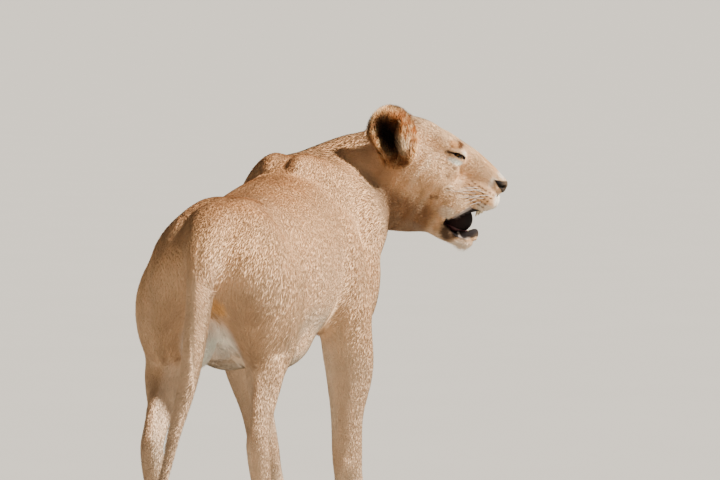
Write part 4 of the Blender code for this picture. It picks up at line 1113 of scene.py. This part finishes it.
def lie_of_coat(places, normals, r):
    """The way that the hair points at each place, along the skin."""
    x, y, z = places.T
    ways = np.tile([0.0, 1.0, 0.0], (len(places), 1))

    def turn(way, share):
        ways[:] += (np.asarray(way, float) - ways) * np.clip(share, 0, 1)[:, None]

    turn((0, 1.0, -0.55), smooth(np.abs(normals[:, 0]), 0.3, 0.9))
    turn((0, 0.45, -1.0), smooth(-y, 0.20, 0.34) * smooth(-z, -0.78, -0.60))
    turn((0, 0.40, -1.0), smooth(y, 0.02, 0.22) * smooth(-z, -0.76, -0.60))
    turn((0, 0.55, -0.90), smooth(y, 0.08, 0.20) * smooth(-z, -0.50, -0.42))
    turn((0, 0.12, -1.0), smooth(-y, 0.10, 0.20) * smooth(-z, -0.48, -0.40))
    turn((0, -0.15, -1.0), smooth(y, 0.08, 0.18) * smooth(-z, -0.27, -0.23))
    turn((0, -1.0, -0.25), r.paw * smooth(-z, -0.11, -0.06))
    neck = near(places, (-0.10, -0.56, 0.83), 0.14, 0.26) * (1 - r.leg)
    turn((0.75, 0.60, -0.45), neck * smooth(z, 0.60, 0.72))
    outwards = (0.35 * r.side * smooth(np.abs(r.left), 0.01, 0.05))[:, None]
    backwards = -HEAD.forward[None] + HEAD.left[None] * outwards
    backwards = backwards - HEAD.up[None] * (0.45 * smooth(-r.up, 0.03, 0.12))[:, None]
    ways += (backwards - ways) * r.head[:, None]
    ear_way = HEAD.up * 0.80 - HEAD.forward * 0.50
    ways += (ear_way[None] + HEAD.left[None] * (0.35 * r.side)[:, None] - ways) * r.ear[:, None]
    along = tail_direction(places)
    ways += (along - ways) * np.maximum(r.tail, r.tuft)[:, None]
    ways[:, 0] += 0.10 * np.sign(x) * (1 - r.head)
    ways -= (ways * normals).sum(1, keepdims=True) * normals
    return ways / np.maximum(np.linalg.norm(ways, axis=1, keepdims=True), 1e-6)


def tail_direction(places):
    line = np.asarray(TAIL_LINE + TUFT_LINE[1:], float)
    _, share = to_line(places, line)
    runs = np.diff(line, axis=0)
    return runs[np.minimum((share * (len(line) - 1)).astype(int), len(runs) - 1)]


#            length  width   height  spacing
COAT_SIZES = (0.0180, 0.0024, 0.0024, 0.0032)
REGION_SIZES = {"leg": (0.0125, 0.0019, 0.0019, 0.0027),
                "paw": (0.0080, 0.0014, 0.0028, 0.0024),
                "tail": (0.0140, 0.0019, 0.0030, 0.0029),
                "head": (0.0085, 0.0015, 0.0028, 0.0023),
                "muzzle": (0.0052, 0.0010, 0.0020, 0.0018),
                "ear": (0.0135, 0.0015, 0.0068, 0.0021),
                "fringe": (0.0260, 0.0017, 0.0120, 0.0024),
                "tuft": (0.0440, 0.0034, 0.0075, 0.0036)}
TUFT_FACES = [(0, 2, 1), (0, 3, 2), (2, 3, 1), (0, 1, 3)]
TUFT_PATCH = [(-0.0015, -0.0015), (0.0015, -0.0015), (0.0, -0.0003), (0.0, 0.0015)]  # on the unwrap
TUFT_SPREAD = 0.16  # how much tufts stray to the side
TUFT_ROOT = 0.0004  # how far they reach into the skin
LOWEST_HAIR = 0.0004  # above the floor


def sizes_of_coat(places, normals, r):
    """Length, width, height off the skin and spacing of the tufts at each place, as columns."""
    sizes = np.tile(COAT_SIZES, (len(places), 1))
    for name, wanted in REGION_SIZES.items():
        sizes += (np.array(wanted) - sizes) * getattr(r, name)[:, None]
    belly = smooth(-normals[:, 2], 0.2, 0.8) * smooth(places[:, 2], 0.38, 0.44) * (1 - r.head)
    chin = blot_local(r, (-0.060, 0.0, -0.195), (0.060, 0.050, 0.030), 0)
    longer = 1 + 0.5 * belly + 1.1 * chin
    sizes[:, :2] *= np.stack([longer, 1 + 0.25 * belly], axis=1)
    sizes[:, 2] *= 1 + 0.15 * belly + 0.5 * chin
    return sizes


class Skin:
    """The skin's triangles with their normals and their places on its own unwrap."""

    def __init__(self, points, faces, uv):
        self.points, self.faces, self.uv = points, faces, uv
        self.normals = point_normals(points, faces)
        self.areas = np.linalg.norm(face_crosses(points, faces), axis=1) / 2

    def scatter(self, rng, wanted):
        """Random places on the skin: wanted is how many for each square metre, at each face."""
        share = np.cumsum(self.areas * wanted)
        count = int(share[-1])
        chosen = np.searchsorted(share, (np.arange(count) + rng.random(count)) * share[-1] / count)
        chosen = np.minimum(chosen, len(self.faces) - 1)
        a, b = rng.random((2, count))
        flip = a + b > 1
        a, b = np.where(flip, 1 - a, a), np.where(flip, 1 - b, b)
        weights = np.stack([1 - a - b, a, b], axis=1)[:, :, None]
        faces = self.faces[chosen]
        places = (self.points[faces] * weights).sum(1)
        normals = (self.normals[faces] * weights).sum(1)
        normals /= np.linalg.norm(normals, axis=1, keepdims=True)
        return places, normals, (self.uv[chosen] * weights).sum(1)


class Tufts:
    """Thin closed spikes of four points each, with their colours and places on the unwrap."""

    def __init__(self, places, normals, ways, sizes, colours, uv, rng):
        count = len(places)
        across = np.cross(normals, ways)
        ways = ways + across * rng.normal(0, TUFT_SPREAD, (count, 1))
        ways /= np.linalg.norm(ways, axis=1, keepdims=True)
        across = np.cross(normals, ways)
        length, width, height = (sizes[:, i:i + 1] for i in range(3))
        length = length * rng.uniform(0.70, 1.20, (count, 1))
        height = height * rng.uniform(0.72, 1.02, (count, 1))
        root = places - normals * TUFT_ROOT
        points = np.empty((count, 4, 3))
        points[:, 0] = root - across * width / 2
        points[:, 1] = root + across * width / 2
        points[:, 2] = root + normals * (TUFT_ROOT + width * 0.16) + ways * length * 0.15
        points[:, 3] = places + ways * length + normals * height
        self.points = points.reshape(-1, 3)
        self.points[:, 2] = np.maximum(self.points[:, 2], LOWEST_HAIR)
        tone = 1 + rng.normal(0, 0.050, (count, 1, 1))
        shade = np.array([0.96, 0.96, 0.98, 1.01])[None, :, None]
        self.colours = np.clip(colours[:, None, :] * shade * tone, 0.002, 1).reshape(-1, 3)
        self.uv = (uv[:, None, :] + np.array(TUFT_PATCH)[None]).reshape(-1, 2)


def coat_label(places, r):
    """The part of the body that each tuft is kept with."""
    labels = np.full(len(places), "barrel", dtype="<U12")
    x, y, z = places.T
    labels[y < -0.18] = "shoulders"
    labels[y > 0.07] = "haunches"
    labels[(z < 0.42) & (y < -0.1)] = "forelegs"
    labels[(z < 0.41) & (y > 0.07)] = "hind_legs"
    labels[near(places, (-0.11, -0.58, 0.84), 0.15, 0.16) > 0.5] = "neck"
    labels[(r.head > 0.5) | ((x < -0.14) & (y < -0.45) & (z > 0.66))] = "head"
    labels[np.maximum(r.tail, r.tuft) > 0.5] = "tail"
    return labels


COAT_SLOTS = {"barrel": "barrel", "shoulders": "shoulders", "haunches": "haunches",
              "forelegs": "foreleg_right", "hind_legs": "shank_right", "neck": "neck", "head": "head",
              "tail": "tail_upper"}
MOST_TUFTS = 49000  # in a piece, to stay under 200,000 triangles


def grow_coat(skin, material):
    """The coat's tufts all over the skin, in a piece or more for each part of the body."""
    rng = np.random.default_rng(21)
    centres = skin.points[skin.faces].mean(1)
    at_faces = Regions(centres)
    face_normals = skin.normals[skin.faces].mean(1)
    spacing = sizes_of_coat(centres, face_normals, at_faces)[:, 3]
    sole = smooth(centres[:, 2], 0.001, 0.006)
    wanted = (1 - smooth(at_faces.bare, 0.3, 0.6)) * sole / spacing**2
    places, normals, uv = skin.scatter(rng, wanted)
    r = Regions(places)
    ways, sizes = lie_of_coat(places, normals, r), sizes_of_coat(places, normals, r)
    tufts = Tufts(places, normals, ways, sizes, coat_colour(places, normals), uv, rng)
    labels = coat_label(places, r)
    pieces = 0
    for label, slot in COAT_SLOTS.items():
        chosen = np.nonzero(labels == label)[0]
        parts = max(1, math.ceil(len(chosen) / MOST_TUFTS))
        for i, part in enumerate(np.array_split(chosen, parts)):
            name = f"coat_{label}" if parts == 1 else f"coat_{label}_{i + 1}"
            corners = (part[:, None] * 4 + np.arange(4)).ravel()
            faces = np.array(TUFT_FACES)[None] + 4 * np.arange(len(part))[:, None, None]
            piece = mesh_object(name, tufts.points[corners], faces.reshape(-1, 3), material,
                                tufts.colours[corners], tufts.uv[corners])
            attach(piece, BODY)
            pieces += 1
    print("coat:", len(places), "tufts in", pieces, "pieces")


# ---------------------------------------------------------------- objects


BODY = next(iter(frame["bodies"]))


def mesh_object(name, points, faces, material, colours=None, uv=None):
    """A smooth object of triangles, in the frame. colours and uv have a row for each point."""
    points, faces = np.asarray(points, float) + CENTRE_SHIFT, np.asarray(faces, np.int32)
    mesh = bpy.data.meshes.new(name)
    mesh.vertices.add(len(points))
    mesh.vertices.foreach_set("co", points.astype(np.float32).ravel())
    mesh.loops.add(faces.size)
    mesh.loops.foreach_set("vertex_index", faces.ravel())
    mesh.polygons.add(len(faces))
    mesh.polygons.foreach_set("loop_start", np.arange(0, faces.size, 3, dtype=np.int32))
    mesh.update(calc_edges=True)
    mesh.polygons.foreach_set("use_smooth", np.ones(len(faces), bool))
    if colours is not None:
        layer = mesh.attributes.new("coat", "FLOAT_COLOR", "POINT")
        with_alpha = np.hstack([colours, np.ones((len(points), 1))])
        layer.data.foreach_set("color", with_alpha.astype(np.float32).ravel())
    if uv is not None:
        layer = mesh.uv_layers.new(name="OFBake")
        layer.uv.foreach_set("vector", np.asarray(uv, np.float32)[faces.ravel()].ravel())
    mesh.materials.append(material)
    return linked(name, mesh)


def linked(name, data):
    """A new object that holds the data, in the scene."""
    obj = bpy.data.objects.new(name, data)
    bpy.context.scene.collection.objects.link(obj)
    return obj


def unwrap(obj):
    """Unwraps an object into a map named OFBake and gives each face's corners on it."""
    obj.data.uv_layers.new(name="OFBake")
    bpy.context.view_layer.objects.active = obj
    obj.select_set(True)
    bpy.ops.object.mode_set(mode="EDIT")
    bpy.ops.mesh.select_all(action="SELECT")
    bpy.ops.uv.smart_project(angle_limit=math.radians(70), island_margin=0.002)
    bpy.ops.object.mode_set(mode="OBJECT")
    obj.select_set(False)
    places = np.empty(len(obj.data.loops) * 2, np.float32)
    obj.data.uv_layers["OFBake"].uv.foreach_get("vector", places)
    return places.reshape(-1, 3, 2).astype(float)


NOISE_RANGE = {"From Min": 0.3, "From Max": 0.7}


class Nodes:
    """A material's node tree, with a short way to add and link nodes."""

    def __init__(self, name):
        self.material = bpy.data.materials.new(name)
        self.material.use_nodes = True
        self.tree = self.material.node_tree
        self.shader = self.tree.nodes["Principled BSDF"]

    def join(self, socket, value):
        """Links a node's output to a socket, or sets the socket to a number or colour."""
        if isinstance(value, bpy.types.NodeSocket):
            self.tree.links.new(value, socket)
        else:
            socket.default_value = value

    def add(self, kind, links, output, **settings):
        """A new node's output. links are what goes into its inputs."""
        node = self.tree.nodes.new("ShaderNode" + kind)
        for name, value in settings.items():
            setattr(node, name, value)
        for socket, value in links.items():
            self.join(node.inputs[socket], value)
        return node.outputs[output]

    def noise(self, scale, detail=2.0):
        place = self.add("TexCoord", {}, "Object")
        return self.add("TexNoise", {"Vector": place, "Scale": scale, "Detail": detail}, "Fac")

    def spread(self, value, low, high, **links):
        """A noise value spread out between low and high."""
        links = {"Value": value, "To Min": low, "To Max": high, **links}
        return self.add("MapRange", links, "Result")

    def times(self, first, second):
        return self.add("VectorMath", {0: first, 1: second}, "Vector", operation="MULTIPLY")

    def finish(self, colour, roughness, height=None, bump=0.0, **sockets):
        """Sets the shader. height stands up from the surface by bump, in metres."""
        if bump:
            sockets["Normal"] = self.add("Bump", {"Height": height, "Distance": bump}, "Normal")
        for name, value in {"Base Color": colour, "Roughness": roughness, **sockets}.items():
            self.join(self.shader.inputs[name], value)
        return self.material


def coat_material(name, grain, bump):
    """The coat's own colours, with a fine grain. bump is how far the grain stands up, in metres."""
    made = Nodes(name)
    colour = made.add("Attribute", {}, "Color", attribute_name="coat")
    shade = made.spread(made.noise(grain, 3.0), 0.86, 1.12, **NOISE_RANGE)
    height = made.noise(grain * 1.4) if bump else None
    mixed = made.times(colour, shade)
    return made.finish(mixed, 0.78, height, bump, **{"Specular IOR Level": 0.18})


def plain_material(name, colour, roughness, grain, variation=0.15, bump=0.0, coat=0.0):
    """One colour with a procedural variation."""
    made = Nodes(name)
    tone = made.spread(made.noise(grain), 1 - variation, 1 + variation, **NOISE_RANGE)
    height = made.noise(grain * 2) if bump else None
    mixed = made.times(tuple(colour), tone)
    return made.finish(mixed, roughness, height, bump, **{"Coat Weight": coat})


def eye_material(name, eye):
    """Amber iris, round pupil and dark rim, by the angle from where the eye looks."""
    made = Nodes(name)
    place = made.add("TexCoord", {}, "Object")
    centre = tuple(eye.centre + CENTRE_SHIFT)
    offset = made.add("VectorMath", {0: place, 1: centre}, "Vector", operation="SUBTRACT")
    way = made.add("VectorMath", {0: offset}, "Vector", operation="NORMALIZE")
    facing = made.add("VectorMath", {0: way, 1: tuple(eye.gaze)}, "Value", operation="DOT_PRODUCT")
    shade = made.add("ValToRGB", {"Fac": facing}, "Color")
    elements = shade.node.color_ramp.elements
    while len(elements) < len(IRIS):
        elements.new(0.5)
    for element, (position, _) in zip(elements, IRIS):
        element.position = position
    for element, (_, colour) in zip(elements, IRIS):
        element.color = (*colour, 1)
    fibres = made.spread(made.noise(420, 4.0), 0.7, 1.3)
    return made.finish(made.times(shade, fibres), 0.08, **{"Coat Weight": 0.6})


def ball_points(centre, radii, axes, rings=24):
    """Points and faces of an ellipsoid."""
    points, faces, around = [], [], 2 * rings
    for i in range(rings + 1):
        lift = math.pi * i / rings - math.pi / 2
        flat = math.cos(lift)
        for k in range(around if 0 < i < rings else 1):
            turn = 2 * math.pi * k / around
            points.append((flat * math.cos(turn), flat * math.sin(turn), math.sin(lift)))
    middle = [[1 + (i - 1) * around + k for k in range(around)] for i in range(1, rings)]
    rows = [[0], *middle, [len(points) - 1]]
    for low, high in zip(rows, rows[1:]):
        for k in range(around):
            a, b = low[k % len(low)], low[(k + 1) % len(low)]
            c, d = high[k % len(high)], high[(k + 1) % len(high)]
            faces += [f for f in ((a, b, d), (a, d, c)) if len(set(f)) == 3]
    return (np.array(points) * radii) @ np.asarray(axes) + centre, np.array(faces)


def strand(line, widths, sides=6):
    """Points and faces of a closed strand along a line, with its half-width at each point."""
    line = np.asarray(line, float)
    points, faces = [], []
    for i, (place, width) in enumerate(zip(line, widths)):
        run = unit(line[min(i + 1, len(line) - 1)] - line[max(i - 1, 0)])
        side = unit(np.cross(run, (0.31, 0.17, 0.93)))
        other = np.cross(run, side)
        for k in range(sides):
            turn = 2 * math.pi * k / sides
            points.append(place + (side * math.cos(turn) + other * math.sin(turn)) * width)
    for i in range(len(line) - 1):
        for k in range(sides):
            a, b = i * sides + k, i * sides + (k + 1) % sides
            faces += [(a, b, b + sides), (a, b + sides, a + sides)]
    last = (len(line) - 1) * sides
    faces += [(0, k + 1, k) for k in range(1, sides - 1)]
    faces += [(last, last + k, last + k + 1) for k in range(1, sides - 1)]
    return np.array(points), np.array(faces)


def merged(parts):
    """Several sets of points and faces as one."""
    points, faces, start = [], [], 0
    for part_points, part_faces in parts:
        points.append(part_points)
        faces.append(np.asarray(part_faces) + start)
        start += len(part_points)
    return np.concatenate(points), np.concatenate(faces)


# ---------------------------------------------------------------- pieces


FLESH = ["head", "lower_jaw", "ear_left", "ear_right", "neck", "shoulders", "barrel", "haunches",
         "foreleg_left", "foreleg_right", "forepaw_left", "forepaw_right", "shank_left",
         "shank_right", "hind_foot_left", "hind_foot_right", "tail_upper", "tail_lower", "tail_tuft"]


def build_skin(material):
    """The one skin, with the eyelids, in place of all the nodes of flesh."""
    parts = [skin_mesh()]
    for side in SIDES:
        for upper in (True, False):
            points, faces = lid_mesh(EyeFrame(side), upper)
            parts.append((points, outward(points, faces)))
    points, faces = merged(parts)
    normals = point_normals(points, faces)
    obj = mesh_object("skin", points, faces, material, coat_colour(points, normals))
    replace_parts(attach(obj, BODY), *FLESH)
    print("skin:", len(faces), "triangles")
    return Skin(points, faces, unwrap(obj))


def build_eyes():
    for name, side in SIDE_NAMES.items():
        eye = EyeFrame(side)
        points, faces = ball_points(eye.centre, [EYE_RADIUS - EYE_GAP] * 3, HEAD.axes())
        ball = mesh_object(f"eyeball_{name}", points, faces, eye_material(f"eye_{name}", eye))
        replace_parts(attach(ball, BODY), f"eye_{name}")


def fang(root, tip, width):
    """A canine from its root to its tip, curved backwards."""
    root, tip = np.array(root), np.array(tip)
    shares = np.linspace(0, 1, 9)
    line = [root + (tip - root) * t + HEAD.forward * width * 0.7 * math.sin(t * math.pi)
            for t in shares]
    widths = [width * max(1 - t**1.7, 0.0) ** 0.75 + 0.0003 for t in shares]
    return strand(line, widths, 12)


#          root, tip, width
CANINES = {"upper": ((-0.046, 0.022, -0.072), (-0.039, 0.023, -0.105), 0.0050),
           "lower": ((-0.048, 0.017, -0.168), (-0.042, 0.019, -0.142), 0.0046)}
TONGUE_RADII = (0.042, 0.021, 0.012)


def build_mouth():
    ivory = plain_material("ivory", srgb(196, 176, 138), 0.32, 260, 0.10, coat=0.3)
    for kind, (root, tip, width) in CANINES.items():
        for name, side in SIDE_NAMES.items():
            ends = [HEAD.at(forward, left * side, up) for forward, left, up in (root, tip)]
            tooth = mesh_object(f"fang_{kind}_{name}", *fang(*ends, width), ivory)
            node = f"canine_{kind}_{name}"
            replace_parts(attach(tooth, BODY), node)
    for kind, forward, up in (("upper", -0.030, -0.089), ("lower", -0.033, -0.146)):
        row = []
        for i in range(6):
            left = (i - 2.5) * 0.0052
            place = HEAD.at(forward - abs(left) * 0.35, left, up)
            row.append(ball_points(place, (0.0028, 0.0024, 0.0048), HEAD.axes(), 6))
        teeth = mesh_object(f"incisors_{kind}", *merged(row), ivory)
        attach(teeth, BODY)
    build_tongue()


def build_tongue():
    """A tongue that narrows to its tip, with a groove along its top."""
    length, _, thick = TONGUE_RADII
    points, faces = ball_points(np.zeros(3), TONGUE_RADII, np.eye(3))
    forward, left, up = points.T
    groove = np.exp(-(left / 0.004) ** 2) * np.clip(up / thick, 0, 1)
    narrowed = left * (1 - 0.25 * np.clip(forward / length, 0, 1))
    points = np.stack([forward, narrowed, up - 0.0025 * groove], axis=1)
    points = points @ HEAD.axes(-6) + HEAD.at(-0.078, 0, -0.153)
    # The tongue's dark red-brown is painted shade of the inside of the mouth
    flesh = plain_material("tongue_flesh", srgb(92, 46, 46), 0.45, 900, 0.25, 0.0006, 0.2)
    tongue = mesh_object("tongue_flesh", points, faces, flesh)
    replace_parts(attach(tongue, BODY), "tongue")


def build_whiskers():
    rng = np.random.default_rng(7)
    parts = []
    for side in SIDES:
        for row in range(3):
            for column in range(4):
                root = HEAD.at(-0.026 - 0.0115 * column - 0.004 * row, 0.047 * side,
                               -0.040 - 0.0105 * row + 0.002 * column)
                length = rng.uniform(0.050, 0.095)
                way = unit(HEAD.left * side - HEAD.forward * rng.uniform(0.5, 0.9)
                           - HEAD.up * rng.uniform(0.0, 0.35))
                droop = HEAD.up * rng.uniform(-0.012, -0.004)
                line = [root + way * length * t + droop * t * t for t in np.linspace(0, 1, 7)]
                parts.append(strand(line, np.linspace(0.00034, 0.00010, 7), 5))
    white = plain_material("whisker", srgb(240, 234, 224), 0.4, 300, 0.05)
    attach(mesh_object("whiskers", *merged(parts), white), BODY)


# ---------------------------------------------------------------- stage


VIEW_AZIMUTH = 193.0  # degrees: behind her and a little to her right
VIEW_DISTANCE = 9.43
VIEW_ASIDE = 0.245
VIEW_HEIGHT = 1.290
VIEW_DIP = 3.446  # degrees
VIEW_LENS, FILM_WIDTH = 200.0, 36.0  # mm
VIEW_REACH = 30000
FLOOR_HALF = 9000.0
SUN_FROM = (1.00, 0.30, 0.95)  # from the right, from the camera's side and from above
SUN_STRENGTH, SUN_ANGLE, SUN_COLOUR = 13.4, 6.0, (1.0, 0.95, 0.88)
SKY_STRENGTH, SKY_COLOUR = 0.13, (0.80, 0.84, 0.90, 1)


def build_stage():
    azimuth = math.radians(VIEW_AZIMUTH)
    ahead = Vector((-math.sin(azimuth), math.cos(azimuth), 0))
    aside = Vector((ahead.y, -ahead.x, 0))
    camera = linked("camera", bpy.data.cameras.new("camera"))
    camera.data.lens, camera.data.sensor_width = VIEW_LENS, FILM_WIDTH
    camera.data.clip_end = VIEW_REACH
    camera.location = Vector(CENTRE_SHIFT) - ahead * VIEW_DISTANCE + aside * VIEW_ASIDE
    camera.location.z = VIEW_HEIGHT
    dip = math.radians(VIEW_DIP)
    look = ahead * math.cos(dip) - Vector((0, 0, math.sin(dip)))
    camera.rotation_euler = look.to_track_quat("-Z", "Y").to_euler()
    bpy.context.scene.camera = camera

    mesh = bpy.data.meshes.new("floor")
    corners = [(-1, -1), (1, -1), (1, 1), (-1, 1)]
    mesh.from_pydata([(x * FLOOR_HALF, y * FLOOR_HALF, 0) for x, y in corners], [], [(0, 1, 2, 3)])
    mesh.materials.append(plain_material("floor", srgb(174, 170, 162), 0.9, 2.0, 0.01))
    linked("floor", mesh)

    from_right, from_camera, from_above = SUN_FROM
    lamp = linked("key", bpy.data.lights.new("key", "SUN"))
    lamp.data.energy, lamp.data.color = SUN_STRENGTH, SUN_COLOUR
    lamp.data.angle = math.radians(SUN_ANGLE)
    source = aside * from_right - ahead * from_camera + Vector((0, 0, from_above))
    lamp.rotation_euler = source.to_track_quat("Z", "Y").to_euler()
    world = bpy.data.worlds.new("studio")
    world.use_nodes = True
    sky = world.node_tree.nodes["Background"].inputs
    sky["Color"].default_value, sky["Strength"].default_value = SKY_COLOUR, SKY_STRENGTH
    bpy.context.scene.world = world


def main():
    build_stage()
    skin = build_skin(coat_material("skin", 520, 0.0012))
    grow_coat(skin, coat_material("coat", 700, 0.0))
    build_eyes()
    build_mouth()
    build_whiskers()


main()
